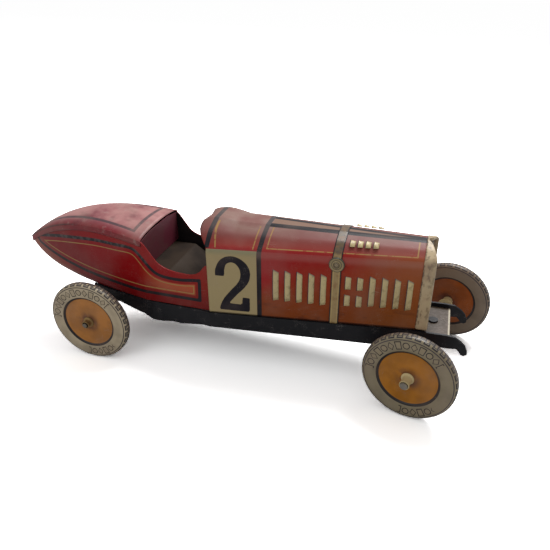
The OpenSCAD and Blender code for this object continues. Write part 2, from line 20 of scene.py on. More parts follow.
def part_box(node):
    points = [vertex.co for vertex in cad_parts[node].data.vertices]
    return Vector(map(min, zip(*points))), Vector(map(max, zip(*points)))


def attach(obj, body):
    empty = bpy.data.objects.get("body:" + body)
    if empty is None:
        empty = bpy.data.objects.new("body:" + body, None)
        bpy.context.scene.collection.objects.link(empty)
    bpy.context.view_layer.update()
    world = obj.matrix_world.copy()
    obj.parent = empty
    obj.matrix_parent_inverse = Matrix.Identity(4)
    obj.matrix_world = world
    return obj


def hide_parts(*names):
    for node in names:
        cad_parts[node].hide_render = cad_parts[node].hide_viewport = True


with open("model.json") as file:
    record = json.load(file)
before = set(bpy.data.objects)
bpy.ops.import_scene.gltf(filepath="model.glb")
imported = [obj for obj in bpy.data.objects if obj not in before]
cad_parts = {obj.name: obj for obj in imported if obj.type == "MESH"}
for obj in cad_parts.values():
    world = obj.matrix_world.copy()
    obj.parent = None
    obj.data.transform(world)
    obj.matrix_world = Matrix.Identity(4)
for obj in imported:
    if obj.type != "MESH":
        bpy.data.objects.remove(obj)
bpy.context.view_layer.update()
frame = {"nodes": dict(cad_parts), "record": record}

log = logging.getLogger("tin_racer")
Colour = tuple[float, float, float]
Number = Union[float, "Field"]
Span = Union[float, np.ndarray]
Outline = tuple[tuple[float, float], ...]
MM = 0.001
MERGE = 0.02 * MM


class Side(Enum):
    """Which side of the car a piece is on, as the sign of y."""

    RIGHT = -1
    LEFT = 1


class Wall(Enum):
    """Which way a sheet gets its thickness from the drawn surface."""

    INWARD = -1.0
    OUTWARD = 1.0


def ink(red: int, green: int, blue: int) -> Colour:
    """Turns an 8-bit display colour into the linear colour the shaders use.

    Args:
        red: Red, 0 to 255.
        green: Green, 0 to 255.
        blue: Blue, 0 to 255.

    Returns:
        The linear red, green and blue.
    """
    return tuple(
        c / 12.92 if c <= 0.04045 else ((c + 0.055) / 1.055) ** 2.4
        for c in (red / 255, green / 255, blue / 255)
    )


# ---------------------------------------------------------------- the body's lines
def box_mm(node: str) -> tuple[np.ndarray, np.ndarray]:
    """Gives a frame node's lowest and highest corner in millimetres from the steering pivot."""
    low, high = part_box(node)
    return np.array(low) / MM - PIVOT, np.array(high) / MM - PIVOT


def pivot_mm() -> np.ndarray:
    """Gives the steering pivot's place on the ground in the frame, in millimetres."""
    low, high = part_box("steering_pin")
    return np.array([(low.x + high.x) / 2 / MM, 0.0, 0.0])


PIVOT = pivot_mm()


@dataclass(frozen=True)
class BodyLines:
    """Plan and elevation curves of the body, in millimetres."""

    scuttle: float
    deck: float
    tip: float
    nose: float
    scuttle_w: float = 30.7
    nose_w: float = 18.8
    crease_rear: float = 86.0
    crease_front: float = 90.2
    strip_top: float = 97.6
    deck_top: float = 84.4
    tip_z: float = 62.0
    tail_w: float = 28.5
    seat_z: float = 38.6
    tail_lift: float = 23.3
    floor_z: float = 61.6

    @classmethod
    def from_frame(cls) -> "BodyLines":
        """Reads the stations along the car from the frame.

        Returns:
            The lines of this car's body.
        """
        bonnet = box_mm("bonnet_shell")
        deck = box_mm("tail_deck")
        bulkhead = box_mm("cockpit_bulkhead")
        tail = box_mm("tail_shell")
        return cls(
            scuttle=tail[1][0] - 3.0,
            deck=bulkhead[0][0] + 1.2,
            tip=deck[0][0],
            nose=bonnet[1][0],
        )

    def ahead(self, x: Span) -> Span:
        """Share of the way from the scuttle to the nose."""
        return (x - self.scuttle) / (-10.0 - self.scuttle)

    def side_w(self, x: Span) -> Span:
        """Half width of the bonnet."""
        return self.scuttle_w + (self.nose_w - self.scuttle_w) * self.ahead(x)

    def crease(self, x: Span) -> Span:
        """Height of the bonnet's crease."""
        return self.crease_rear + (self.crease_front - self.crease_rear) * self.ahead(x)

    def strip_w(self, x: Span) -> Span:
        """Half width of the bonnet's top strip."""
        return 8.0 - 6.0 * self.ahead(x)

    def strip_z(self, x: Span) -> Span:
        """Height of the bonnet's top strip."""
        return self.strip_top - self.ahead(x)

    def back(self, x: Span) -> Span:
        """Share of the way from the cockpit to the tail's point."""
        return np.clip((self.deck - x) / (self.deck - self.tip), 0.0, 1.0)

    def seat(self, x: Span) -> Span:
        """Height of the body's seat on the rails."""
        rear = self.seat_z + self.tail_lift * self.back(x) ** 4.4
        return np.where(x < self.scuttle, rear, self.seat_z + 0.0255 * (x - self.scuttle))

    def half_w(self, x: Span) -> Span:
        """Gives the half width of the tail and the cockpit's sides.

        Args:
            x: Station along the car.

        Returns:
            The half width there.
        """
        share = (x - self.deck) / (self.scuttle - self.deck)
        front = self.tail_w + (self.scuttle_w - 1.3 - self.tail_w) * share
        rear = self.tail_w * np.maximum(1 - self.back(x), 1e-4) ** 0.58
        return np.where(x > self.deck, front, rear)

    def edge(self, x: Span) -> Span:
        """Height of the tail's upper edge."""
        u = self.back(x)
        return self.tip_z + (self.deck_top - self.tip_z) * (1 - u**2) * (1 + 0.845 * u)

    def crown(self, x: Span) -> Span:
        """Rise of the deck's middle over its edge."""
        u = self.back(x)
        return 2.8 + 3.0 * np.sin(math.pi * u) - 2.8 * u

    def cockpit_side(self, x: Span) -> Span:
        """Gives the height of the cockpit side's cut edge, one smooth sweep from the deck to the scuttle.

        Args:
            x: Station along the car.

        Returns:
            The height there.
        """
        d, s = self.deck, self.scuttle
        deck_rise = self.deck_top - 0.6 - self.floor_z
        at = [d, d + 3, d + 7, d + 10.6, d + 14.4, d + 19, d + 24,
              s - 14.4, s - 9.6, s - 6.4, s - 4.2, s - 2.4, s + 3]
        rise = [deck_rise, 18.6, 12.6, 7.8, 5.6, 3.9, 3.0, 2.6, 3.5, 5.4, 8.2, 11.4, 11.4]
        return self.floor_z + smooth_through(x, at, rise)


def smooth_through(x: Span, at: Sequence[float], value: Sequence[float], reach: float = 1.6) -> Span:
    """Interpolates between points and rounds the corners off.

    Args:
        x: Where values are wanted.
        at: Places of the known values, rising.
        value: The known values.
        reach: Half the stretch that each value is averaged over.

    Returns:
        The smoothed values.
    """
    shifts = np.linspace(-reach, reach, 9)
    return np.mean([np.interp(x + s, at, value) for s in shifts], axis=0)


def fillet_chain(corners: Sequence[tuple[float, float]], radii: Sequence[float], counts: Sequence[int],
                 arc: int = 6) -> np.ndarray:
    """Draws a chain of straight runs joined by round corners.

    Args:
        corners: The chain's points.
        radii: Fillet radius at each inner corner.
        counts: Number of steps on each straight run.
        arc: Number of steps round each corner.

    Returns:
        Points in order, the same number for the same counts.
    """
    p = [np.array(c, float) for c in corners]
    out = [p[0][None, :]]
    start = p[0]
    for i, radius in enumerate(radii, 1):
        into, away = p[i - 1] - p[i], p[i + 1] - p[i]
        a, b = into / np.linalg.norm(into), away / np.linalg.norm(away)
        half = math.acos(float(np.clip(a @ b, -1, 1))) / 2
        cut = min(radius / math.tan(half), 0.45 * np.linalg.norm(into), 0.45 * np.linalg.norm(away))
        first, last = p[i] + a * cut, p[i] + b * cut
        out.append(start + (first - start) * np.linspace(0, 1, counts[i - 1] + 1)[1:, None])
        t = np.linspace(0, 1, arc + 1)[1:, None]
        out.append((1 - t) ** 2 * first + 2 * t * (1 - t) * p[i] + t**2 * last)
        start = last
    out.append(start + (p[-1] - start) * np.linspace(0, 1, counts[-1] + 1)[1:, None])
    return np.vstack(out)


def arc_length(points: np.ndarray) -> np.ndarray:
    """Distance along a chain of points from its first."""
    steps = np.linalg.norm(np.diff(points, axis=0), axis=1)
    return np.concatenate([[0.0], np.cumsum(steps)])


def through(points: Sequence[tuple[float, float]], steps: int = 6) -> np.ndarray:
    """Draws a smooth open curve through points.

    Args:
        points: The points to pass through.
        steps: Steps between neighbours.

    Returns:
        The curve's points, ends included.
    """
    p = np.array(points, float)
    ext = np.vstack([2 * p[0] - p[1], p, 2 * p[-1] - p[-2]])
    out = [p[:1]]
    for i in range(len(p) - 1):
        a, b, c, d = ext[i:i + 4]
        t = np.linspace(0, 1, steps + 1)[1:, None]
        square, cube = 2 * a - 5 * b + 4 * c - d, 3 * b - a - 3 * c + d
        out.append(0.5 * (2 * b + (c - a) * t + square * t**2 + cube * t**3))
    return np.vstack(out)


def signed_distance(points: np.ndarray, outline: np.ndarray) -> np.ndarray:
    """Distance from points to a closed outline, negative inside.

    Args:
        points: Points in the outline's plane, shape (n, 2).
        outline: The outline's corners in order, shape (m, 2).

    Returns:
        One signed distance for each point.
    """
    a, b = outline, np.roll(outline, -1, axis=0)
    along = b - a
    rel = points[:, None, :] - a[None]
    t = np.clip((rel * along).sum(-1) / np.maximum((along**2).sum(-1), 1e-12), 0, 1)
    distance = np.linalg.norm(rel - t[..., None] * along, axis=-1).min(1)
    crosses = (a[None, :, 1] > points[:, None, 1]) != (b[None, :, 1] > points[:, None, 1])
    rise = np.where(np.abs(along[:, 1]) < 1e-12, 1e-12, along[:, 1])
    at = a[None, :, 0] + (points[:, None, 1] - a[None, :, 1]) / rise * along[:, 0]
    inside = (crosses & (points[:, None, 0] < at)).sum(1) % 2 == 1
    return np.where(inside, -distance, distance)


# ---------------------------------------------------------------- meshes
def build_mesh(name: str, points: np.ndarray, faces: Sequence[Sequence[int]],
               marks: Optional[dict[str, np.ndarray]] = None) -> bpy.types.Object:
    """Makes a mesh object from points in millimetres from the steering pivot.

    Args:
        name: The object's name.
        points: Vertex places, shape (n, 3).
        faces: Vertex numbers of each face.
        marks: Named values that the finish reads, one or three numbers a vertex.

    Returns:
        The object, at the origin with its place in its mesh.
    """
    mesh = bpy.data.meshes.new(name)
    mesh.from_pydata(((np.asarray(points) + PIVOT) * MM).tolist(), [], [list(map(int, f)) for f in faces])
    for key, values in (marks or {}).items():
        kind, field_name = ("FLOAT_VECTOR", "vector") if np.ndim(values) == 2 else ("FLOAT", "value")
        attribute = mesh.attributes.new(key, kind, "POINT")
        attribute.data.foreach_set(field_name, np.asarray(values, np.float32).ravel())
    for polygon in mesh.polygons:
        polygon.use_smooth = True
    mesh.update()
    obj = bpy.data.objects.new(name, mesh)
    bpy.context.scene.collection.objects.link(obj)
    return obj


def grid_faces(rows: int, cols: int, keep: Optional[Callable[[int, int], bool]] = None,
               ring: bool = False) -> list[list[int]]:
    """Gives the faces of a grid of vertices laid out row by row.

    Args:
        rows: Number of rows.
        cols: Number of vertices in a row.
        keep: Says whether the face at (row, column) is wanted.
        ring: Whether the last row joins the first.

    Returns:
        The faces as vertex numbers.
    """
    last = rows if ring else rows - 1
    return [
        [i * cols + j, i * cols + j + 1, (i + 1) % rows * cols + j + 1, (i + 1) % rows * cols + j]
        for i in range(last) for j in range(cols - 1) if keep is None or keep(i, j)
    ]


def clean(obj: bpy.types.Object, outward_from: Sequence[float]) -> None:
    """Merges doubles, drops loose points and turns every face away from a point.

    Args:
        obj: The open or closed surface.
        outward_from: A point well inside the surface, in millimetres.
    """
    centre = Vector((np.array(outward_from) + PIVOT) * MM)
    bm = bmesh.new()
    bm.from_mesh(obj.data)
    bmesh.ops.remove_doubles(bm, verts=bm.verts, dist=MERGE)
    loose = [v for v in bm.verts if not v.link_faces]
    bmesh.ops.delete(bm, geom=loose, context="VERTS")
    bmesh.ops.recalc_face_normals(bm, faces=bm.faces)
    lean = sum(f.normal.dot(f.calc_center_median() - centre) * f.calc_area() for f in bm.faces)
    if lean < 0:
        bmesh.ops.reverse_faces(bm, faces=bm.faces)
    bm.to_mesh(obj.data)
    bm.free()


def face_outward(obj: bpy.types.Object, merge: bool = False) -> None:
    """Turns a closed shape's faces outwards.

    Args:
        obj: The closed shape.
        merge: Whether its doubles are merged first.
    """
    bm = bmesh.new()
    bm.from_mesh(obj.data)
    if merge:
        bmesh.ops.remove_doubles(bm, verts=bm.verts, dist=MERGE)
    bmesh.ops.recalc_face_normals(bm, faces=bm.faces)
    bm.to_mesh(obj.data)
    bm.free()


def settle(obj: bpy.types.Object) -> bpy.types.Object:
    """Turns an object's modifiers into its plain mesh and removes them.

    Args:
        obj: The object.

    Returns:
        The same object, with its new mesh.
    """
    graph = bpy.context.evaluated_depsgraph_get()
    made = obj.evaluated_get(graph)
    mesh = bpy.data.meshes.new_from_object(made, preserve_all_data_layers=True, depsgraph=graph)
    obj.modifiers.clear()
    old = obj.data
    obj.data = mesh
    bpy.data.meshes.remove(old)
    obj.data.name = obj.name
    return obj


def stand_for(obj: bpy.types.Object, body: str, node: str) -> None:
    """Sets a finished piece on its body in place of a frame node, and reports it.

    Args:
        obj: The piece.
        body: The body that it moves with.
        node: The frame node that it stands for.
    """
    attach(obj, body)
    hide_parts(node)
    log.info("built %s on %s in place of %s", obj.name, body, node)


def give_wall(obj: bpy.types.Object, thickness: float, wall: Wall, inner_slot: int = 0) -> None:
    """Gives an open surface a sheet's thickness.

    Args:
        obj: The surface.
        thickness: Sheet thickness in millimetres.
        wall: Which way the sheet lies from the surface.
        inner_slot: How many material slots further the hidden side's finish is.
    """
    shell = obj.modifiers.new("sheet", "SOLIDIFY")
    shell.thickness = thickness * MM
    shell.offset = wall.value
    shell.use_even_offset = False
    shell.material_offset = inner_slot
    shell.material_offset_rim = 0
    settle(obj)


def crisp(obj: bpy.types.Object, angle: float = 40.0) -> None:
    """Keeps edges sharper than an angle crisp while the rest shades smooth.

    Args:
        obj: The piece.
        angle: The angle in degrees.
    """
    bm = bmesh.new()
    bm.from_mesh(obj.data)
    for e in bm.edges:
        if len(e.link_faces) == 2 and e.calc_face_angle(0.0) > math.radians(angle):
            e.smooth = False
    bm.to_mesh(obj.data)
    bm.free()


def lathe(name: str, profile: np.ndarray, segments: int, stand: Matrix) -> bpy.types.Object:
    """Turns a closed profile round an axis.

    Args:
        name: The object's name.
        profile: Closed profile of (radius, reach along the axis), in millimetres.
        segments: Steps round the axis.
        stand: Sets the turned shape, whose axis is z, in place in millimetres.

    Returns:
        The turned object, with its own coordinates in the mark "plan".
    """
    n = len(profile)
    angles = np.linspace(0, 2 * math.pi, segments, endpoint=False)
    local = np.array([[r * math.cos(a), r * math.sin(a), h] for a in angles for r, h in profile])
    placed = local @ np.array(stand.to_3x3()).T + np.array(stand.translation)
    faces = []
    for i in range(segments):
        after = (i + 1) % segments
        faces += [[i * n + j, i * n + (j + 1) % n, after * n + (j + 1) % n, after * n + j] for j in range(n)]
    obj = build_mesh(name, placed, faces, {"plan": local})
    face_outward(obj)
    return obj


# ---------------------------------------------------------------- finishes
class Field:
    """A number that changes over a surface, held as a node socket."""

    def __init__(self, tree: bpy.types.NodeTree, socket: bpy.types.NodeSocket) -> None:
        """Keeps the tree and the socket."""
        self.tree = tree
        self.socket = socket

    def math(self, operation: str, *others: Number) -> "Field":
        """Adds a Math node on this field.

        Args:
            operation: The Math node's operation.
            others: Its further operands.

        Returns:
            The result.
        """
        node = self.tree.nodes.new("ShaderNodeMath")
        node.operation = operation
        for slot, value in zip(node.inputs, (self, *others)):
            if isinstance(value, Field):
                self.tree.links.new(value.socket, slot)
            else:
                slot.default_value = float(value)
        return Field(self.tree, node.outputs[0])

    def __add__(self, other: Number) -> "Field":
        """Sum."""
        return self.math("ADD", other)

    def __sub__(self, other: Number) -> "Field":
        """Difference."""
        return self.math("SUBTRACT", other)

    def __mul__(self, other: Number) -> "Field":
        """Product."""
        return self.math("MULTIPLY", other)

    def __truediv__(self, other: Number) -> "Field":
        """Quotient."""
        return self.math("DIVIDE", other)

    def __abs__(self) -> "Field":
        """Size without sign."""
        return self.math("ABSOLUTE")

    def flip(self) -> "Field":
        """One minus this."""
        return self.math("MULTIPLY", -1.0).math("ADD", 1.0)

    def least(self, other: Number) -> "Field":
        """The smaller of the two."""
        return self.math("MINIMUM", other)

    def most(self, other: Number) -> "Field":
        """The larger of the two."""
        return self.math("MAXIMUM", other)

    def step(self, low: float, high: float) -> "Field":
        """Rises smoothly from 0 at low to 1 at high.

        Args:
            low: Where it is 0.
            high: Where it is 1, which may be the lower number.

        Returns:
            The rise.
        """
        node = self.tree.nodes.new("ShaderNodeMapRange")
        node.interpolation_type = "SMOOTHSTEP"
        self.tree.links.new(self.socket, node.inputs["Value"])
        node.inputs["From Min"].default_value = low
        node.inputs["From Max"].default_value = high
        return Field(self.tree, node.outputs["Result"])

    def between(self, low: float, high: float, soft: float = 0.15) -> "Field":
        """1 from low to high and 0 outside, with soft edges."""
        return self.step(low - soft, low + soft) * self.step(high + soft, high - soft)

    def near(self, value: float, half: float, soft: float = 0.15) -> "Field":
        """1 within half of value, with soft edges."""
        return self.between(value - half, value + half, soft)


def new_group(name: str, inputs: dict[str, float], outputs: Sequence[str]) -> bpy.types.NodeTree:
    """Starts a shader node group with a vector and named numbers.

    Args:
        name: The group's name.
        inputs: Named number inputs with their defaults.
        outputs: Names of the number outputs.

    Returns:
        The group's tree.
    """
    tree = bpy.data.node_groups.new(name, "ShaderNodeTree")
    tree.interface.new_socket("Place", in_out="INPUT", socket_type="NodeSocketVector")
    for key, value in inputs.items():
        tree.interface.new_socket(key, in_out="INPUT", socket_type="NodeSocketFloat").default_value = value
    for key in outputs:
        tree.interface.new_socket(key, in_out="OUTPUT", socket_type="NodeSocketFloat")
    tree.nodes.new("NodeGroupInput")
    tree.nodes.new("NodeGroupOutput")
    return tree


def noise_in(tree: bpy.types.NodeTree, place: bpy.types.NodeSocket, scale: float, detail: float = 2.0,
             shift: float = 0.0, stretch: Sequence[float] = (1, 1, 1), turn: float = 0.0) -> Field:
    """Adds a noise pattern on coordinates in millimetres.

    Args:
        tree: The tree to add to.
        place: Coordinates socket.
        scale: Features per millimetre.
        detail: Octaves.
        shift: Moves the pattern, to get another one.
        stretch: Scale along each axis.
        turn: Turn about y in degrees, for slanted streaks.

    Returns:
        The noise, about 0 to 1.
    """
    mapping = tree.nodes.new("ShaderNodeMapping")
    mapping.inputs["Location"].default_value = (shift, shift * 0.7, -shift)
    mapping.inputs["Scale"].default_value = tuple(stretch)
    mapping.inputs["Rotation"].default_value = (0.0, math.radians(turn), 0.0)
    tree.links.new(place, mapping.inputs["Vector"])
    node = tree.nodes.new("ShaderNodeTexNoise")
    node.inputs["Scale"].default_value = scale
    node.inputs["Detail"].default_value = detail
    tree.links.new(mapping.outputs[0], node.inputs["Vector"])
    return Field(tree, node.outputs["Fac"])


def wear_group() -> bpy.types.NodeTree:
    """Builds the shared wear pattern once: scratches, specks, blotches and grain.

    Returns:
        The group, which every printed and painted finish places with its own amounts.
    """
    found = bpy.data.node_groups.get("tin wear")
    if found:
        return found
    tree = new_group("tin wear", {"Scratches": 0.5, "Specks": 0.5}, ("Scratch", "Speck", "Blotch", "Grain"))
    source, sink = tree.nodes["Group Input"], tree.nodes["Group Output"]
    place = source.outputs["Place"]
    scratches, specks = Field(tree, source.outputs["Scratches"]), Field(tree, source.outputs["Specks"])
    blotch = noise_in(tree, place, 0.045, 4.0, 3.1)
    fine = noise_in(tree, place, 1.9, 2.0, 11.0)
    patch = noise_in(tree, place, 0.12, 3.0, 21.0)
    long_lines = noise_in(tree, place, 0.5, 1.0, 5.0, (0.12, 1.6, 1.9), 31.0)
    short_lines = noise_in(tree, place, 0.8, 1.0, 8.0, (1.7, 1.2, 0.16), -24.0)
    thin = abs(long_lines - 0.5).step(0.012, 0.0).most(abs(short_lines - 0.52).step(0.012, 0.0))
    scratch = thin * patch.step(0.5, 0.66) * scratches
    speck = (fine.step(0.71, 0.78) * patch.step(0.38, 0.62)).most(fine.step(0.79, 0.83)) * specks
    grain = noise_in(tree, place, 5.5, 1.0, 2.0)
    for key, value in (("Scratch", scratch), ("Speck", speck), ("Blotch", blotch), ("Grain", grain)):
        tree.links.new(value.socket, sink.inputs[key])
    return tree


class Painter:
    """Builds one material: prints and wear are laid over a running colour."""

    def __init__(self, name: str, base: Colour, scratches: float = 0.5, specks: float = 0.5) -> None:
        """Starts a material.

        Args:
            name: The material's name.
            base: Its ground colour.
            scratches: How many scratches the wear has.
            specks: How many specks the wear has.
        """
        self.material = bpy.data.materials.new(name)
        self.material.use_nodes = True
        self.material.diffuse_color = (*base, 1.0)
        self.tree = self.material.node_tree
        self.tree.nodes.clear()
        self.shader = self.tree.nodes.new("ShaderNodeBsdfPrincipled")
        sink = self.tree.nodes.new("ShaderNodeOutputMaterial")
        self.tree.links.new(self.shader.outputs[0], sink.inputs[0])
        coordinates = self.tree.nodes.new("ShaderNodeTexCoord")
        to_mm = self.tree.nodes.new("ShaderNodeMapping")
        to_mm.vector_type = "TEXTURE"
        to_mm.inputs["Location"].default_value = tuple(PIVOT * MM)
        to_mm.inputs["Scale"].default_value = (MM, MM, MM)
        self.tree.links.new(coordinates.outputs["Object"], to_mm.inputs["Vector"])
        self.place = to_mm.outputs[0]
        self.x, self.y, self.z = self.split(self.place)
        self.colour: Union[Colour, bpy.types.NodeSocket] = base
        wear = self.tree.nodes.new("ShaderNodeGroup")
        wear.node_tree = wear_group()
        wear.inputs["Scratches"].default_value = scratches
        wear.inputs["Specks"].default_value = specks
        self.tree.links.new(self.place, wear.inputs["Place"])
        self.scratch = Field(self.tree, wear.outputs["Scratch"])
        self.speck = Field(self.tree, wear.outputs["Speck"])
        self.blotch = Field(self.tree, wear.outputs["Blotch"])
        self.grain = Field(self.tree, wear.outputs["Grain"])

    def split(self, vector: bpy.types.NodeSocket) -> tuple[Field, Field, Field]:
        """Splits a vector into its three numbers.

        Args:
            vector: The vector's socket.

        Returns:
            The three numbers.
        """
        node = self.tree.nodes.new("ShaderNodeSeparateXYZ")
        self.tree.links.new(vector, node.inputs[0])
        return tuple(Field(self.tree, s) for s in node.outputs)

    def mark(self, name: str) -> Field:
        """Reads a number stored on the mesh.

        Args:
            name: The mark's name.

        Returns:
            The number.
        """
        node = self.tree.nodes.new("ShaderNodeAttribute")
        node.attribute_name = name
        return Field(self.tree, node.outputs["Fac"])

    def plan(self) -> tuple[Field, Field, Field]:
        """Reads the pattern coordinates stored on the mesh.

        Returns:
            The three coordinates in millimetres.
        """
        node = self.tree.nodes.new("ShaderNodeAttribute")
        node.attribute_name = "plan"
        return self.split(node.outputs["Vector"])

    def noise(self, scale: float, detail: float = 2.0, shift: float = 0.0,
              stretch: Sequence[float] = (1, 1, 1)) -> Field:
        """Adds a noise pattern on the piece's own coordinates."""
        return noise_in(self.tree, self.place, scale, detail, shift, stretch)

    def lay(self, colour: Colour, mask: Number) -> None:
        """Lays a colour over what is there.

        Args:
            colour: The colour.
            mask: How much of it shows, 0 to 1.
        """
        node = self.tree.nodes.new("ShaderNodeMix")
        node.data_type = "RGBA"
        factor, under, over = node.inputs[0], node.inputs[6], node.inputs[7]
        if isinstance(mask, Field):
            self.tree.links.new(mask.socket, factor)
        else:
            factor.default_value = mask
        if isinstance(self.colour, tuple):
            under.default_value = (*self.colour, 1.0)
        else:
            self.tree.links.new(self.colour, under)
        over.default_value = (*colour, 1.0)
        self.colour = node.outputs[2]

    def age(self, dust: Colour, dust_amount: float = 0.35, chips: Colour = (0.03, 0.02, 0.018),
            scuff: Colour = (0.42, 0.36, 0.3)) -> None:
        """Lays blotchy dust, dark specks and pale scratches over the print.

        Args:
            dust: Colour of the dulled patches.
            dust_amount: How strong they are.
            chips: Colour of the specks.
            scuff: Colour of the scratches.
        """
        self.lay(dust, self.blotch.step(0.42, 0.72) * dust_amount)
        self.lay(chips, self.speck * 0.8)
        self.lay(scuff, self.scratch * 0.55)

    def done(self, roughness: Number, metallic: float = 0.0, coat: float = 0.0, coat_roughness: float = 0.2,
             bump: Optional[Field] = None, depth: float = 0.03) -> bpy.types.Material:
        """Finishes the material.

        Args:
            roughness: Roughness, even or varying.
            metallic: Metallic value.
            coat: Weight of the clear lacquer.
            coat_roughness: Roughness of the lacquer.
            bump: Height pattern, 0 to 1.
            depth: Depth of the pattern in millimetres.

        Returns:
            The material.
        """
        if isinstance(self.colour, tuple):
            self.shader.inputs["Base Color"].default_value = (*self.colour, 1.0)
        else:
            self.tree.links.new(self.colour, self.shader.inputs["Base Color"])
        if isinstance(roughness, Field):
            self.tree.links.new(roughness.socket, self.shader.inputs["Roughness"])
        else:
            self.shader.inputs["Roughness"].default_value = roughness
        self.shader.inputs["Metallic"].default_value = metallic
        self.shader.inputs["Specular IOR Level"].default_value = 0.16
        self.shader.inputs["Coat Weight"].default_value = coat
        self.shader.inputs["Coat Roughness"].default_value = coat_roughness
        height = bump if bump is not None else self.grain * 0.4 + self.blotch
        node = self.tree.nodes.new("ShaderNodeBump")
        node.inputs["Strength"].default_value = 0.6
        node.inputs["Distance"].default_value = depth * MM
        self.tree.links.new(height.socket, node.inputs["Height"])
        self.tree.links.new(node.outputs[0], self.shader.inputs["Normal"])
        return self.material


@dataclass(frozen=True)
class Metal:
    """A bare metal finish with tarnish."""

    name: str
    colour: Colour
    tarnish: Colour
    roughness: float = 0.4
    metallic: float = 0.9

    def make(self) -> bpy.types.Material:
        """Builds the material.

        Returns:
            The material.
        """
        paint = Painter(self.name, self.colour, 0.6, 0.4)
        paint.lay(self.tarnish, paint.blotch.step(0.4, 0.65) * 0.75)
        paint.lay(tuple(c * 0.35 for c in self.tarnish), paint.speck)
        rough = paint.blotch * 0.35 + (self.roughness - 0.12)
        return paint.done(rough, self.metallic, bump=paint.grain + paint.scratch, depth=0.02)


@dataclass(frozen=True)
class Enamel:
    """A plain painted finish with scuffs and dust."""

    name: str
    colour: Colour
    dust: Colour
    scuff: Colour
    roughness: float = 0.4
    coat: float = 0.3
    scratches: float = 0.7
    specks: float = 0.5

    def make(self) -> bpy.types.Material:
        """Builds the material.

        Returns:
            The material.
        """
        paint = Painter(self.name, self.colour, self.scratches, self.specks)
        paint.age(self.dust, 0.45, chips=self.scuff, scuff=self.scuff)
        return paint.done(paint.blotch * 0.3 + (self.roughness - 0.1), 0.0, self.coat, 0.25)


RED = ink(150, 14, 18)
GOLD = ink(160, 124, 72)
BLACK_LINE = ink(27, 24, 30)
CREAM = ink(166, 148, 108)
DUST = ink(150, 128, 116)


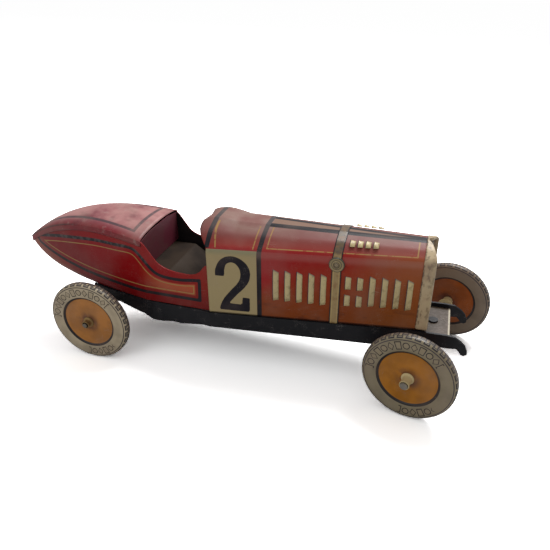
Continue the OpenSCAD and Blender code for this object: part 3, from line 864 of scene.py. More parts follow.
@dataclass(frozen=True)
class BonnetPrint:
    """The bonnet's litho print: number panel, bands, pin lines and shaded reds."""

    lines: BodyLines
    panel_w: float = 33.1
    band_w: float = 3.1
    pin_half: float = 0.4
    pin_drop: float = 2.4
    post_gap: float = 2.9
    front_post: float = -14.9

    @property
    def panel_end(self) -> float:
        """Front edge of the number panel."""
        return self.lines.scuttle + self.panel_w

    @property
    def band_end(self) -> float:
        """Front edge of the dark band ahead of the panel."""
        return self.panel_end + self.band_w

    def make(self) -> bpy.types.Material:
        """Builds the material.

        Returns:
            The material.
        """
        paint = Painter("bonnet print", RED, 0.45, 0.5)
        run, drop, strip = paint.plan()
        self.shade_reds(paint, run, drop, strip)
        side = drop.step(0.15, -0.15)
        panel = run.step(self.panel_end + 0.1, self.panel_end - 0.1) * side
        self.print_panel(paint, drop, panel)
        self.print_pin_lines(paint, run, drop, strip)
        self.print_bands(paint, run, drop, strip)
        grime = paint.noise(0.07, 3.0, 5.0, (1, 1, 2.6)).step(0.55, 0.7)
        paint.lay(ink(70, 26, 12), grime * drop.step(-30.0, -44.0) * panel.flip() * 0.55)
        # Painted highlight: a pale band along the side just under the rounded crease, kept off the number
        # panel.
        paint.lay(ink(196, 160, 150), drop.near(-2.2, 2.2, 2.0) * panel.flip() * side * 0.16)
        paint.age(DUST, 0.14, chips=ink(46, 30, 26))
        rough = paint.blotch * 0.3 + 0.24 + drop.step(-0.5, 5.0) * 0.14
        return paint.done(rough, 0.0, 0.06, 0.18, depth=0.05)

    def shade_reds(self, paint: Painter, run: Field, drop: Field, strip: Field) -> None:
        """Lays orange-brown low and forward, and dull maroon up on the shoulders.

        Args:
            paint: The material being painted.
            run: Station along the car.
            drop: Distance up the section from the crease.
            strip: Distance out from the top strip's edge.
        """
        low = (drop * -1.0 + run * 0.24).step(-22.0, 14.0)
        paint.lay(ink(142, 54, 12), low * 0.95)
        paint.lay(ink(120, 56, 6), (drop * -1.0 + run * 0.1).step(8.0, 40.0) * 0.85)
        paint.lay(ink(160, 20, 34), run.step(-84.0, -112.0) * drop.between(-26.0, -2.0, 8.0) * 0.7)
        paint.lay(ink(156, 96, 52), run.step(-62.0, -14.0) * 0.5)
        paint.lay(ink(132, 54, 46), drop.step(-0.5, 5.0) * 0.9)
        paint.lay(ink(116, 68, 66), drop.step(3.0, 15.0) * 0.85)
        paint.lay(DUST, drop.step(7.0, 22.0) * (paint.noise(0.06, 4.0, 7.0).step(0.3, 0.7) * 0.45 + 0.2))
        ahead = run.step(self.band_end, self.band_end + 1.0)
        paint.lay(ink(128, 100, 84), strip.step(1.2, 0.4) * ahead * 0.9)

    def print_panel(self, paint: Painter, drop: Field, panel: Field) -> None:
        """Prints the cream panel with its race number.

        Args:
            paint: The material being painted.
            drop: Distance up the section from the crease.
            panel: Where the panel is.
        """
        paint.lay(CREAM, panel)
        paint.lay(ink(132, 132, 104), panel * drop.step(-5.0, -0.5) * 0.7)
        wobble = (paint.noise(0.9, 2.0, 4.0) - 0.5) * 0.35
        paint.lay(ink(22, 18, 27), (paint.mark("digit") + wobble).step(0.22, -0.12) * panel)

    def print_pin_lines(self, paint: Painter, run: Field, drop: Field, strip: Field) -> None:
        """Prints the worn gold pin lines on the shoulders and the scuttle.

        Args:
            paint: The material being painted.
            run: Station along the car.
            drop: Distance up the section from the crease.
            strip: Distance out from the top strip's edge.
        """
        half, rear, front = self.pin_half, self.band_end, self.front_post
        worn = paint.noise(0.35, 3.0, 13.0).step(0.34, 0.46)
        ends = run.step(rear + 1.4, rear + 1.6) * run.step(front + 0.5, front + 0.1)
        long_line = drop.near(self.pin_drop, half) * ends * run.between(rear + 2.5, front + 0.3)
        on_shoulder = drop.step(2.0, 2.3) * strip.step(1.6, 2.2)
        posts = run.near(rear + self.post_gap, half).most(run.near(front, half)) * on_shoulder
        scuttle_posts = run.near(self.lines.scuttle + 6.2, 0.42).most(run.near(self.panel_end - 2.8, 0.42))
        scuttle_posts = scuttle_posts * drop.step(0.8, 1.4) * strip.step(2.0, 3.0)
        paint.lay(GOLD, long_line.most(posts).most(scuttle_posts) * (worn * 0.65 + 0.25))

    def print_bands(self, paint: Painter, run: Field, drop: Field, strip: Field) -> None:
        """Prints the dark bands ahead of the panel, round the rim and along the strip, and a painted shadow
        line at the foot.

        Args:
            paint: The material being painted.
            run: Station along the car.
            drop: Distance up the section from the crease.
            strip: Distance out from the top strip's edge.
        """
        rim = self.lines.scuttle
        band = run.between(self.panel_end, self.band_end)
        rim_band = paint.x.between(rim - 1.4, rim + 1.8) * drop.step(0.3, 0.8)
        edge_line = strip.between(-2.4, 2.0) * run.step(self.band_end - 0.5, self.band_end)
        # Painted shadow: a dark line along the sheet's foot, where it sits on the rails.
        foot_shadow = drop.step(-46.2, -47.0) * 0.7
        dark = band.most(rim_band).most(edge_line).most(foot_shadow)
        paint.lay(BLACK_LINE, dark * (paint.noise(0.25, 3.0, 2.0).step(0.2, 0.4) * 0.25 + 0.75))
        paint.lay(ink(120, 110, 108), rim_band.most(band) * drop.step(4.0, 22.0) * 0.35)


@dataclass(frozen=True)
class TailPrint:
    """The tail side's litho print: a black loop, a gold loop and shaded reds."""

    lines: BodyLines

    def make(self) -> bpy.types.Material:
        """Builds the material.

        Returns:
            The material.
        """
        paint = Painter("tail print", ink(138, 4, 10), 0.3, 0.35)
        loop = paint.mark("loop")
        deep = paint.x + paint.z * 0.5
        paint.lay(ink(136, 30, 14), (paint.x - paint.z * 0.7).step(-228.0, -178.0) * 0.9)
        paint.lay(ink(176, 84, 50), loop.step(-3.0, -4.0) * paint.x.step(-200.0, -176.0))
        paint.lay(ink(84, 4, 10), paint.z.step(58.0, 40.0) * 0.55)
        paint.lay(ink(100, 10, 20), deep.step(-196.0, -226.0) * 0.5)
        sheen = (paint.z * -1.0 - paint.x * 0.55).step(86.0, 116.0)
        paint.lay(ink(168, 128, 104), sheen * 0.62)
        worn = paint.noise(0.4, 3.0, 9.0).step(0.3, 0.42)
        paint.lay(GOLD, loop.near(-4.6, 0.36) * (worn * 0.6 + 0.4))
        paint.lay(BLACK_LINE, loop.near(-0.3, 1.2) * (worn * 0.2 + 0.8))
        top_line = paint.noise(0.3, 3.0, 17.0).step(0.45, 0.6) * paint.z.step(66.0, 70.0)
        paint.lay(ink(92, 84, 84), loop.near(-0.3, 1.3, 0.4) * top_line * 0.5)
        paint.age(DUST, 0.1, chips=ink(60, 24, 20))
        return paint.done(paint.blotch * 0.25 + 0.24, 0.0, 0.12, 0.14, depth=0.05)


@dataclass(frozen=True)
class DeckPrint:
    """The tail deck's maroon print with its dark band, dulled by dust and by a painted reflection haze."""

    lines: BodyLines
    inset: float = 6.6
    setback: float = 8.2

    def make(self) -> bpy.types.Material:
        """Builds the material.

        Returns:
            The material.
        """
        paint = Painter("deck print", ink(126, 62, 70), 0.6, 0.5)
        run, inward, _ = paint.plan()
        # Pale pink haze over the deck's crown, away from its edges: partly dust, partly painted reflection of
        # the pale surroundings.
        dull = paint.noise(0.05, 4.0, 2.0)
        paint.lay(ink(180, 130, 126), dull.step(0.24, 0.6) * inward.step(1.0, 11.0) * 0.85)
        paint.lay(ink(126, 28, 36), inward.step(5.5, -0.5) * 0.85)
        paint.lay(ink(166, 140, 134), paint.noise(0.16, 3.0, 8.0).step(0.58, 0.75) * 0.4)
        paint.lay(ink(84, 36, 44), paint.noise(0.09, 4.0, 31.0).step(0.54, 0.72) * 0.4)
        front = self.lines.deck - self.setback
        inside = inward.least(run * -1.0 + front + self.inset)
        band = inside.near(self.inset, 1.15, 0.35)
        paint.lay(ink(62, 54, 60), band * (paint.noise(0.22, 3.0, 6.0).step(0.25, 0.5) * 0.35 + 0.5))
        paint.lay(BLACK_LINE, inward.near(0.2, 0.5, 0.5) * run.step(-240.0, -262.0) * 0.7)
        paint.age(DUST, 0.3, chips=ink(50, 34, 34), scuff=ink(176, 150, 140))
        return paint.done(paint.blotch * 0.3 + 0.36, 0.0, 0.2, 0.3, depth=0.06)


@dataclass(frozen=True)
class StrapPrint:
    """The printed leather strap: tan with dark edges, darker over the shoulder."""

    lines: BodyLines
    middle: float
    half: float

    def make(self) -> bpy.types.Material:
        """Builds the material.

        Returns:
            The material.
        """
        paint = Painter("strap print", ink(158, 134, 92), 0.5, 0.8)
        run, drop, _ = paint.plan()
        upper = drop.step(-0.5, 3.0)
        paint.lay(ink(76, 62, 46), upper * 0.85)
        paint.lay(ink(70, 60, 54), upper * paint.noise(0.4, 3.0, 3.0).step(0.45, 0.6) * 0.6)
        paint.lay(ink(128, 84, 50), paint.noise(0.3, 3.0, 1.0).step(0.45, 0.7) * 0.5)
        side = abs(run - self.middle)
        paint.lay(BLACK_LINE, side.step(self.half - 0.75, self.half - 0.45))
        paint.lay(ink(196, 170, 110), side.near(self.half - 1.25, 0.22) * drop.step(-3.0, -6.0) * 0.6)
        paint.age(DUST, 0.2)
        return paint.done(paint.blotch * 0.3 + 0.3, 0.0, 0.3, 0.2)


@dataclass(frozen=True)
class WheelPrint:
    """A wheel's litho print: disc, dark ring, tyre wall with raised-looking marks and a block tread."""

    name: str
    disc: Colour
    tyre: Colour
    dull: float
    marks: bool = True
    ring_r: float = 18.6
    tyre_r: float = 29.0
    half_w: float = 3.75

    def make(self) -> bpy.types.Material:
        """Builds the material.

        Returns:
            The material.
        """
        paint = Painter(self.name, self.tyre, 0.5, 0.6)
        u, v, reach = paint.plan()
        radius = (u * u + v * v).math("SQRT")
        angle = v.math("ARCTAN2", u)
        disc = radius.step(self.ring_r, self.ring_r - 0.3)
        mottled = paint.noise(0.09, 4.0, 5.0)
        paint.lay(tuple(c * 0.6 for c in self.tyre), mottled.step(0.4, 0.7) * 0.55)
        # Painted sheen: a pale ring on the crown of the tyre wall.
        paint.lay(ink(150, 136, 120), radius.between(22.5, 25.0, 1.6) * 0.22)
        paint.lay(self.disc, disc)
        paint.lay(tuple(c * 0.62 for c in self.disc), disc * mottled.step(0.38, 0.62) * 0.55)
        # Painted shadow round the hub, darkest next to it and broken up by noise.
        hub_shadow = radius.step(9.5, 3.6) * paint.noise(0.2, 3.0, 9.0).step(0.25, 0.6)
        paint.lay(ink(74, 48, 44), disc * hub_shadow * 0.75)
        if self.marks:
            self.print_marks(paint, radius, angle)
        paint.lay(ink(36, 32, 32), radius.near(self.ring_r + 0.1, 0.75))
        face = abs(reach).step(self.half_w - 1.6, self.half_w - 1.2)
        paint.lay(ink(48, 44, 52), radius.near(self.tyre_r - 1.9, 0.26) * face)
        self.print_tread(paint, radius, angle, reach)
        paint.lay(ink(60, 54, 50), disc.flip() * self.dull)
        paint.age(DUST, 0.16, chips=ink(44, 32, 26))
        return paint.done(paint.blotch * 0.3 + 0.26 + self.dull * 0.3, 0.0, 0.3, 0.2)

    def print_marks(self, paint: Painter, radius: Field, angle: Field) -> None:
        """Prints two arcs of plain outlined marks on the tyre wall.

        Args:
            paint: The material being painted.
            radius: Distance from the axle.
            angle: Angle round the axle in radians.
        """
        pitch = math.radians(11.5)
        cell = (angle / pitch).math("FRACT")
        turn_no = (angle / pitch).math("FLOOR").math("MODULO", 3.0)
        across = (cell - 0.5) * (pitch * 23.6 * 0.84)
        up = (radius - 23.5) * 0.8
        box_edge = abs(across).step(1.05, 1.75).most(abs(up).step(1.55, 2.35))
        lozenge = (abs(across) * 1.25 + abs(up)).step(1.5, 2.4)
        disc = (across * across + up * up).math("SQRT").step(1.2, 1.95)
        pick_box = abs(turn_no).step(0.4, 0.6).flip()
        pick_disc = abs(abs(turn_no) - 2.0).step(0.4, 0.6).flip()
        shape = box_edge * pick_box + disc * pick_disc + lozenge * (pick_box + pick_disc).flip()
        outline = abs(shape - 0.5).step(0.49, 0.3)
        fill = shape.step(0.5, 0.1)
        arcs = angle.between(math.radians(42), math.radians(178), 0.01)
        arcs = arcs.most(angle.between(math.radians(-98), math.radians(-42), 0.01))
        faded = paint.noise(0.2, 3.0, 14.0).step(0.25, 0.5) * 0.3 + 0.7
        paint.lay(ink(150, 132, 104), fill * arcs * 0.35)
        paint.lay(ink(30, 27, 27), outline * arcs * faded)

    def print_tread(self, paint: Painter, radius: Field, angle: Field, reach: Field) -> None:
        """Prints rows of dark outlined blocks round the tread.

        Args:
            paint: The material being painted.
            radius: Distance from the axle.
            angle: Angle round the axle in radians.
            reach: Distance from the wheel's middle plane.
        """
        on_tread = radius.step(self.tyre_r - 1.6, self.tyre_r - 1.1)
        row = abs(reach).step(1.25, 1.35)
        cell = (angle * (17 / math.pi) + row * 0.5).math("FRACT")
        block = abs(cell - 0.5) - 0.3
        height = abs(abs(reach) - 1.3 - row * 0.8 + row.flip() * 0.65) - 0.52
        edge = block * 5.3
        line = edge.most(height).near(0.0, 0.3, 0.14)
        paint.lay(ink(132, 124, 118), on_tread * edge.most(height).step(0.1, -0.1) * 0.5)
        paint.lay(ink(30, 28, 36), on_tread * line * 0.95)
        paint.lay(ink(60, 56, 64), on_tread * abs(reach).step(0.14, 0.05) * 0.8)


@dataclass(frozen=True)
class CreamPress:
    """Cream paint on the pressed louvres, with painted shade at the open lip and at the top end."""

    def make(self) -> bpy.types.Material:
        """Builds the material.

        Returns:
            The material.
        """
        paint = Painter("louvre cream", ink(200, 182, 134), 0.3, 0.4)
        paint.lay(ink(120, 104, 74), paint.noise(0.35, 3.0, 3.0).step(0.5, 0.75) * 0.5)
        # Painted shade on the louvre's open lip, standing in for the dark opening.
        paint.lay(ink(64, 58, 66), paint.mark("lip").step(0.35, 0.75))
        # Painted shade: bluish dark at the louvre's top end.
        paint.lay(ink(74, 70, 96), paint.mark("tip").step(0.5, 1.0) * 0.6)
        paint.age(DUST, 0.2)
        return paint.done(0.38, 0.0, 0.25, 0.2)


@dataclass(frozen=True)
class RadiatorPrint:
    """Tan print of the radiator band with grime along its edges."""

    def make(self) -> bpy.types.Material:
        """Builds the material.

        Returns:
            The material.
        """
        paint = Painter("radiator tan", ink(188, 168, 134), 0.6, 0.8)
        paint.lay(ink(160, 134, 108), paint.noise(0.14, 4.0, 3.0).step(0.4, 0.65) * 0.7)
        paint.lay(ink(104, 88, 74), paint.noise(0.5, 3.0, 6.0, (1, 1, 0.5)).step(0.5, 0.66) * 0.65)
        rear = paint.x.step(-9.6, -10.5) * paint.noise(0.3, 2.0, 4.0).step(0.35, 0.6)
        paint.lay(ink(66, 54, 50), rear * 0.8)
        paint.lay(ink(176, 158, 124), paint.x.step(-7.0, -4.5) * 0.35)
        paint.age(DUST, 0.25)
        return paint.done(paint.blotch * 0.3 + 0.3, 0.0, 0.25, 0.25, depth=0.06)


@dataclass(frozen=True)
class MeshPrint:
    """Printed honeycomb of the radiator's face."""

    def make(self) -> bpy.types.Material:
        """Builds the material.

        Returns:
            The material.
        """
        paint = Painter("radiator mesh", ink(44, 38, 34), 0.3, 0.5)
        a = (paint.y * 0.55 + paint.z * 0.32).math("FRACT")
        b = (paint.y * 0.55 - paint.z * 0.32).math("FRACT")
        wire = abs(a - 0.5).step(0.36, 0.44).most(abs(b - 0.5).step(0.36, 0.44))
        paint.lay(ink(150, 130, 96), wire * 0.8)
        paint.lay(ink(36, 32, 34), abs(paint.y).step(0.75, 0.5))
        paint.age(DUST, 0.3)
        return paint.done(0.45, 0.0, 0.2, 0.3, bump=wire, depth=0.15)


@dataclass(frozen=True)
class ApronPrint:
    """Worn tan print of the front apron, with a painted highlight on its fold."""

    fold: float

    def make(self) -> bpy.types.Material:
        """Builds the material.

        Returns:
            The material.
        """
        paint = Painter("apron tan", ink(64, 50, 36), 0.9, 1.4)
        paint.lay(ink(86, 72, 62), paint.noise(0.5, 4.0, 3.0).step(0.5, 0.62) * 0.75)
        # Painted highlight: a pale bright line along the apron's front fold.
        paint.lay(ink(206, 196, 172), paint.x.near(self.fold, 0.5, 0.4) * 0.85)
        paint.lay(ink(58, 50, 46), paint.noise(1.4, 2.0, 9.0).step(0.62, 0.68) * 0.8)
        paint.age(DUST, 0.4)
        return paint.done(0.42, 0.0, 0.2, 0.3, depth=0.08)


@dataclass(frozen=True)
class BuckleFace:
    """Tan buckle printed with concentric rings."""

    def make(self) -> bpy.types.Material:
        """Builds the material.

        Returns:
            The material.
        """
        paint = Painter("buckle print", ink(150, 132, 96), 0.4, 0.7)
        u, v, _ = paint.plan()
        radius = (u * u + v * v).math("SQRT")
        paint.lay(ink(70, 74, 64), radius.near(4.75, 0.32))
        paint.lay(ink(82, 74, 60), radius.near(3.1, 0.2).most(radius.near(1.9, 0.22)))
        paint.lay(ink(60, 52, 60), radius.step(1.5, 1.1))
        paint.lay(ink(180, 160, 120), radius.near(0.6, 0.4) * 0.6)
        paint.age(DUST, 0.2)
        return paint.done(0.36, 0.0, 0.3, 0.2)


# ---------------------------------------------------------------- sub-assemblies
@dataclass(frozen=True)
class Bonnet:
    """The bonnet sheet from the scuttle's rim to the radiator."""

    lines: BodyLines
    sheet: float = 0.8
    crease_r: float = 6.0
    sweep_from: float = 47.4
    rim_run: float = 15.6
    rim_spread: float = 2.52
    steps: tuple[int, ...] = (34, 7, 8, 9)
    round_steps: int = 7
    digit_outer: Outline = (
        (-140.2, 67.6), (-139.9, 72.0), (-137.6, 77.6), (-133.8, 81.2), (-129.0, 82.5), (-123.6, 81.3),
        (-118.8, 77.3), (-116.8, 71.5), (-117.8, 65.2), (-121.4, 59.6), (-126.6, 53.8), (-131.6, 47.4),
    )
    digit_foot: Outline = (
        (-122.6, 47.3), (-122.1, 52.9), (-117.4, 52.6), (-117.5, 42.2), (-138.0, 42.0),
    )
    digit_inner: Outline = (
        (-137.9, 42.9), (-137.0, 46.4), (-134.4, 51.4), (-129.8, 57.6), (-125.4, 63.0), (-123.3, 68.0),
        (-123.6, 73.4), (-126.2, 77.2), (-129.3, 78.1), (-132.4, 76.6), (-133.8, 72.6), (-134.1, 67.7),
    )

    @property
    def crease_point(self) -> int:
        """Number of the point at the middle of a section's crease."""
        return self.steps[0] + (self.round_steps + 1) // 2

    def section(self, x: float, rim: float) -> np.ndarray:
        """Draws half a cross-section from the foot to the middle of the strip.

        Args:
            x: Station along the car.
            rim: How far the scuttle's swept rim is pulled back, 0 to 1.

        Returns:
            Points (dx, y, z).
        """
        lines = self.lines
        w, crease, sw, sz = (float(f(x)) for f in (lines.side_w, lines.crease, lines.strip_w, lines.strip_z))
        seat = float(lines.seat(x + 0.01)) + 0.2
        q = rim * rim
        swell = math.sin(math.pi / 2 * min(rim / 0.7, 1.0)) ** 1.6
        fall = (max(rim - 0.72, 0.0) / 0.28) ** 2
        lift = 1.9 * swell - 2.6 * fall
        low, shoulder = np.array([-w, seat]), np.array([-w, crease])
        mid = np.array([-(w + sw) / 2 - 0.3 - 3.4 * q, (crease + sz) / 2 + 1.3 + lift])
        edge = np.array([-sw - 2.4 * q, sz + lift])
        top = np.array([0.0, sz + lift + 0.05])
        radii = [self.crease_r, 14.0, 3.0]
        chain = fillet_chain([low, shoulder, mid, edge, top], radii, self.steps, self.round_steps)
        length = arc_length(chain)
        share = np.clip((length - self.sweep_from) / max(length[-1] - self.sweep_from, 1.0), 0, 1)
        back = -q * np.interp(share, np.linspace(0, 1, 8), [0, 3.2, 6.4, 8.5, 9.2, 9.0, 8.2, 7.6])
        return np.column_stack([back, chain])

    def digit_marks(self, points: np.ndarray) -> dict[int, np.ndarray]:
        """Measures each point's distance from the race number's edge, read the right way on each side.

        Args:
            points: Points of the drawn half, shape (rows, columns, 3).

        Returns:
            Signed distances for the drawn half, 1, and for its mirror image, -1.
        """
        outline = np.vstack([through(self.digit_outer, 4), self.digit_foot, through(self.digit_inner, 4)])
        panel_ends = np.array([2 * self.lines.scuttle + BonnetPrint(self.lines).panel_w, 0.0])
        flat = points[:, :, (0, 2)].reshape(-1, 2)
        shapes = {1: outline, -1: outline * [-1, 1] + panel_ends}
        grid = points.shape[:2]
        return {half: signed_distance(flat, shape).reshape(grid) for half, shape in shapes.items()}

    def build(self) -> bpy.types.Object:
        """Builds the sheet with its printed coordinates.

        Returns:
            The bonnet.
        """
        lines = self.lines
        rims = [(lines.scuttle + self.rim_run * (1 - s), s) for s in np.linspace(1, 0, 15)]
        plain = [(x, 0.0) for x in np.linspace(lines.scuttle + self.rim_run + 1.0, lines.nose - 0.1, 112)]
        half = np.array([self.section(x, rim) for x, rim in rims + plain])
        at, rim = (np.array(column)[:, None] for column in zip(*(rims + plain)))
        points = half.copy()
        points[:, :, 0] += at
        lengths = np.array([arc_length(row[:, 1:]) for row in half])
        drop = lengths - lengths[:, self.crease_point:self.crease_point + 1]
        strip = np.abs(half[:, :, 1]) - lines.strip_w(at) - self.rim_spread * rim**2
        plan = np.stack([np.repeat(at, half.shape[1], 1), drop, strip], -1)
        digits = self.digit_marks(points)
        grids, plans, marks = [], [], []
        for sign, order in ((1, slice(None)), (-1, slice(-2, None, -1))):
            grids.append((points * [1, sign, 1])[:, order])
            plans.append(plan[:, order])
            marks.append(np.where(drop < 2, digits[sign], 9.0)[:, order])
        grid = np.concatenate(grids, 1)
        obj = build_mesh("bonnet", grid.reshape(-1, 3), grid_faces(*grid.shape[:2]), {
            "plan": np.concatenate(plans, 1).reshape(-1, 3), "digit": np.concatenate(marks, 1).ravel()})
        clean(obj, (-70, 0, 60))
        return obj

    def dress(self) -> None:
        """Builds the sheet and gives it its thickness and print."""
        obj = self.build()
        inner = Enamel("bonnet inner", ink(54, 34, 34), DUST, ink(90, 80, 76), 0.5, 0.0)
        obj.data.materials.append(BonnetPrint(self.lines).make())
        obj.data.materials.append(inner.make())
        give_wall(obj, self.sheet, Wall.INWARD, 1)
        stand_for(obj, "chassis", "bonnet_shell")


@dataclass(frozen=True)
class Tail:
    """The tail: two printed sides meeting in a vertical edge, and the crowned deck."""

    lines: BodyLines
    sheet: float = 0.8
    deck_sheet: float = 0.5
    belly_from: float = -234.0
    belly_faces: int = 9
    steps: tuple[int, ...] = (5, 30)
    round_steps: int = 9
    loop_top: Outline = (
        (-293.4, 65.2), (-291.0, 67.8), (-285.0, 69.4), (-266.8, 73.1), (-236.6, 77.0), (-215.4, 77.6),
        (-203.0, 77.7), (-197.2, 75.2), (-192.0, 69.6), (-187.6, 64.4), (-183.0, 61.2), (-176.0, 59.7),
        (-166.0, 59.6), (-157.0, 60.8),
    )
    loop_end: Outline = ((-151.9, 61.4), (-152.4, 45.4))
    loop_low: Outline = (
        (-160.0, 45.4), (-185.0, 45.3), (-204.9, 45.6), (-224.0, 47.0), (-244.0, 49.2), (-264.0, 53.0),
        (-280.0, 57.6), (-291.0, 61.8),
    )

    def section(self, x: float) -> np.ndarray:
        """Draws one side from the middle of the belly to the upper edge.

        Args:
            x: Station along the car.

        Returns:
            Points (y, z), the same number at every station.
        """
        lines = self.lines
        w, belly, u = float(lines.half_w(x)), float(lines.seat(x)) + 0.2, float(lines.back(x))
        top = float(lines.edge(x)) - 0.6 if x < lines.deck else float(lines.cockpit_side(x))
        radius = min(0.5 + 0.75 * w * u**1.3, w * 0.9, (top - belly) * 0.8)
        corners = [(0, belly), (-w, belly), (-w, top)]
        return fillet_chain(corners, [max(radius, 0.4)], self.steps, self.round_steps)

    def build_sides(self) -> bpy.types.Object:
        """Builds the sheet of both sides.

        Returns:
            The sides.
        """
        lines = self.lines
        rear = lines.tip + (lines.deck - lines.tip) * (1 - np.cos(np.linspace(0.04, 1, 66) * math.pi / 2))
        front = np.linspace(lines.deck + 0.7, lines.scuttle + 3.0, 64)
        stations = np.concatenate([[lines.tip + 0.12], rear[:-1], [lines.deck], front])
        rows = np.array([[(x, y, z) for y, z in self.section(x)] for x in stations])
        outline = np.vstack([through(self.loop_top, 4), self.loop_end, through(self.loop_low, 4)])
        loop = signed_distance(rows[:, :, (0, 2)].reshape(-1, 2), outline).reshape(rows.shape[:2])
        belly = rows[:, :, 2] < lines.seat(stations)[:, None] + 0.25
        loop = np.where(belly, 9.0, loop)
        open_from = int(np.searchsorted(stations, self.belly_from))
        one = grid_faces(*rows.shape[:2], keep=lambda i, j: i < open_from or j >= self.belly_faces)
        count = rows.shape[0] * rows.shape[1]
        grids = [(rows * np.array([1, sign, 1])).reshape(-1, 3) for sign in (1, -1)]
        faces = one + [[v + count for v in f] for f in one]
        obj = build_mesh("tail_sides", np.vstack(grids), faces, {"loop": np.tile(loop.ravel(), 2)})
        clean(obj, (-205, 0, 60))
        return obj

    def build_deck(self) -> bpy.types.Object:
        """Builds the crowned deck with its turned-down flange.

        Returns:
            The deck.
        """
        lines = self.lines
        stations = lines.tip + (lines.deck - lines.tip) * (1 - np.cos(np.linspace(0.03, 1, 70) * math.pi / 2))
        across = np.sin(np.linspace(-1, 1, 41) * math.pi / 2)
        flange, past_edge = np.array([4.5, 3.0, 1.5]), np.array([-4.0, -2.6, -1.2])
        rows, plans = [], []
        for x in stations:
            w = float(lines.half_w(min(x, lines.deck - 0.01))) + 0.6
            e, c = float(lines.edge(x)), float(lines.crown(x))
            crown = e + 0.5 + c * (1 - np.abs(across) ** 2.2) - 0.9 * np.abs(across) ** 14
            y = np.concatenate([[-w] * 3, w * across, [w] * 3])
            z = np.concatenate([e - flange, crown, e - flange[::-1]])
            inward = np.concatenate([past_edge, w - np.abs(w * across), past_edge[::-1]])
            rows.append(np.column_stack([np.full(len(y), x), y, z]))
            plans.append(np.column_stack([np.full(len(y), x), inward, z]))
        grid = np.array(rows)
        obj = build_mesh("tail_deck_print", grid.reshape(-1, 3), grid_faces(*grid.shape[:2]),
                         {"plan": np.array(plans).reshape(-1, 3)})
        clean(obj, (-230, 0, 55))
        return obj

    def dress(self) -> None:
        """Builds and finishes both pieces."""
        sides, deck = self.build_sides(), self.build_deck()
        # Painted shade: the tail's inner face is near-black, standing in for the unlit inside of the cockpit.
        inner = Enamel("tail inner", ink(22, 19, 20), ink(50, 42, 40), ink(70, 60, 54), 0.55, 0.0)
        sides.data.materials.append(TailPrint(self.lines).make())
        sides.data.materials.append(inner.make())
        give_wall(sides, self.sheet, Wall.INWARD, 1)
        deck.data.materials.append(DeckPrint(self.lines).make())
        give_wall(deck, self.deck_sheet, Wall.INWARD)
        stand_for(sides, "chassis", "tail_shell")
        stand_for(deck, "chassis", "tail_deck")


@dataclass(frozen=True)
class Louvre:
    """One pressed louvre: highest at its open rear lip, falling to the front."""

    length: float
    width: float = 3.8
    rise: float = 1.25

    def build(self) -> bpy.types.Object:
        """Builds the louvre lying along z, bulging towards -y, rear to -x.

        Returns:
            A closed mesh of a few dozen faces, with marks for its open lip and its top.
        """
        ns, nt = 5, 9
        points, lip, tip = [], [], []
        for i in range(ns):
            s = i / (ns - 1)
            for j in range(nt):
                t = -1 + 2 * j / (nt - 1)
                cut = 1 - 0.16 * s if t > 0 else 1 - 0.1 * s
                ends = max(1 - abs(t) ** 3.4, 0.0)
                height = self.rise * ends * (1 - 0.86 * s**1.4)
                points.append([(s - 0.5) * self.width, -height - 0.02, t * cut * self.length / 2])
                lip.append(1.0 if i == 0 else 0.0)
                tip.append(max(t - 0.75, 0) * 4)
        top = len(points)
        points += [[p[0], 0.25, p[2]] for p in points]
        lip += lip[:top]
        tip += [0.0] * top
        faces = grid_faces(ns, nt)
        faces += [[v + top for v in reversed(f)] for f in faces]
        rim = list(range(nt)) + [i * nt + nt - 1 for i in range(1, ns)]
        rim += [(ns - 1) * nt + j for j in range(nt - 2, -1, -1)] + [i * nt for i in range(ns - 2, 0, -1)]
        faces += [[a, a + top, b + top, b] for a, b in zip(rim, rim[1:] + rim[:1])]
        mesh = bpy.data.meshes.new("louvre")
        mesh.from_pydata([[c * MM for c in p] for p in points], [], faces)
        for key, values in (("lip", lip), ("tip", tip)):
            mesh.attributes.new(key, "FLOAT", "POINT").data.foreach_set("value", values)
        obj = bpy.data.objects.new("louvre", mesh)
        bpy.context.scene.collection.objects.link(obj)
        face_outward(obj)
        return obj


def row_tree(name: str, helper: bpy.types.Object, material: bpy.types.Material) -> bpy.types.NodeTree:
    """Builds a Geometry Nodes tree that stands a piece in a row.

    Args:
        name: The tree's name.
        helper: The piece that repeats.
        material: Its material.

    Returns:
        The tree, with inputs for the count, the first place, the step and the turn.
    """
    tree = bpy.data.node_groups.new(name, "GeometryNodeTree")
    tree.interface.new_socket("Geometry", in_out="INPUT", socket_type="NodeSocketGeometry")
    for key, kind in (("Count", "NodeSocketInt"), ("First", "NodeSocketVector"), ("Step", "NodeSocketVector"),
                      ("Turn", "NodeSocketVector")):
        tree.interface.new_socket(key, in_out="INPUT", socket_type=kind)
    tree.interface.new_socket("Geometry", in_out="OUTPUT", socket_type="NodeSocketGeometry")
    source, sink = tree.nodes.new("NodeGroupInput"), tree.nodes.new("NodeGroupOutput")
    line = tree.nodes.new("GeometryNodeMeshLine")
    line.mode = "OFFSET"
    info = tree.nodes.new("GeometryNodeObjectInfo")
    info.inputs["Object"].default_value = helper
    place = tree.nodes.new("GeometryNodeInstanceOnPoints")
    real = tree.nodes.new("GeometryNodeRealizeInstances")
    finish = tree.nodes.new("GeometryNodeSetMaterial")
    finish.inputs["Material"].default_value = material
    for a, b in (
        (source.outputs["Count"], line.inputs["Count"]),
        (source.outputs["First"], line.inputs["Start Location"]),
        (source.outputs["Step"], line.inputs["Offset"]),
        (line.outputs[0], place.inputs["Points"]),
        (info.outputs["Geometry"], place.inputs["Instance"]),
        (source.outputs["Turn"], place.inputs["Rotation"]),
        (place.outputs[0], real.inputs[0]),
        (real.outputs[0], finish.inputs["Geometry"]),
        (finish.outputs[0], sink.inputs[0]),
    ):
        tree.links.new(a, b)
    return tree


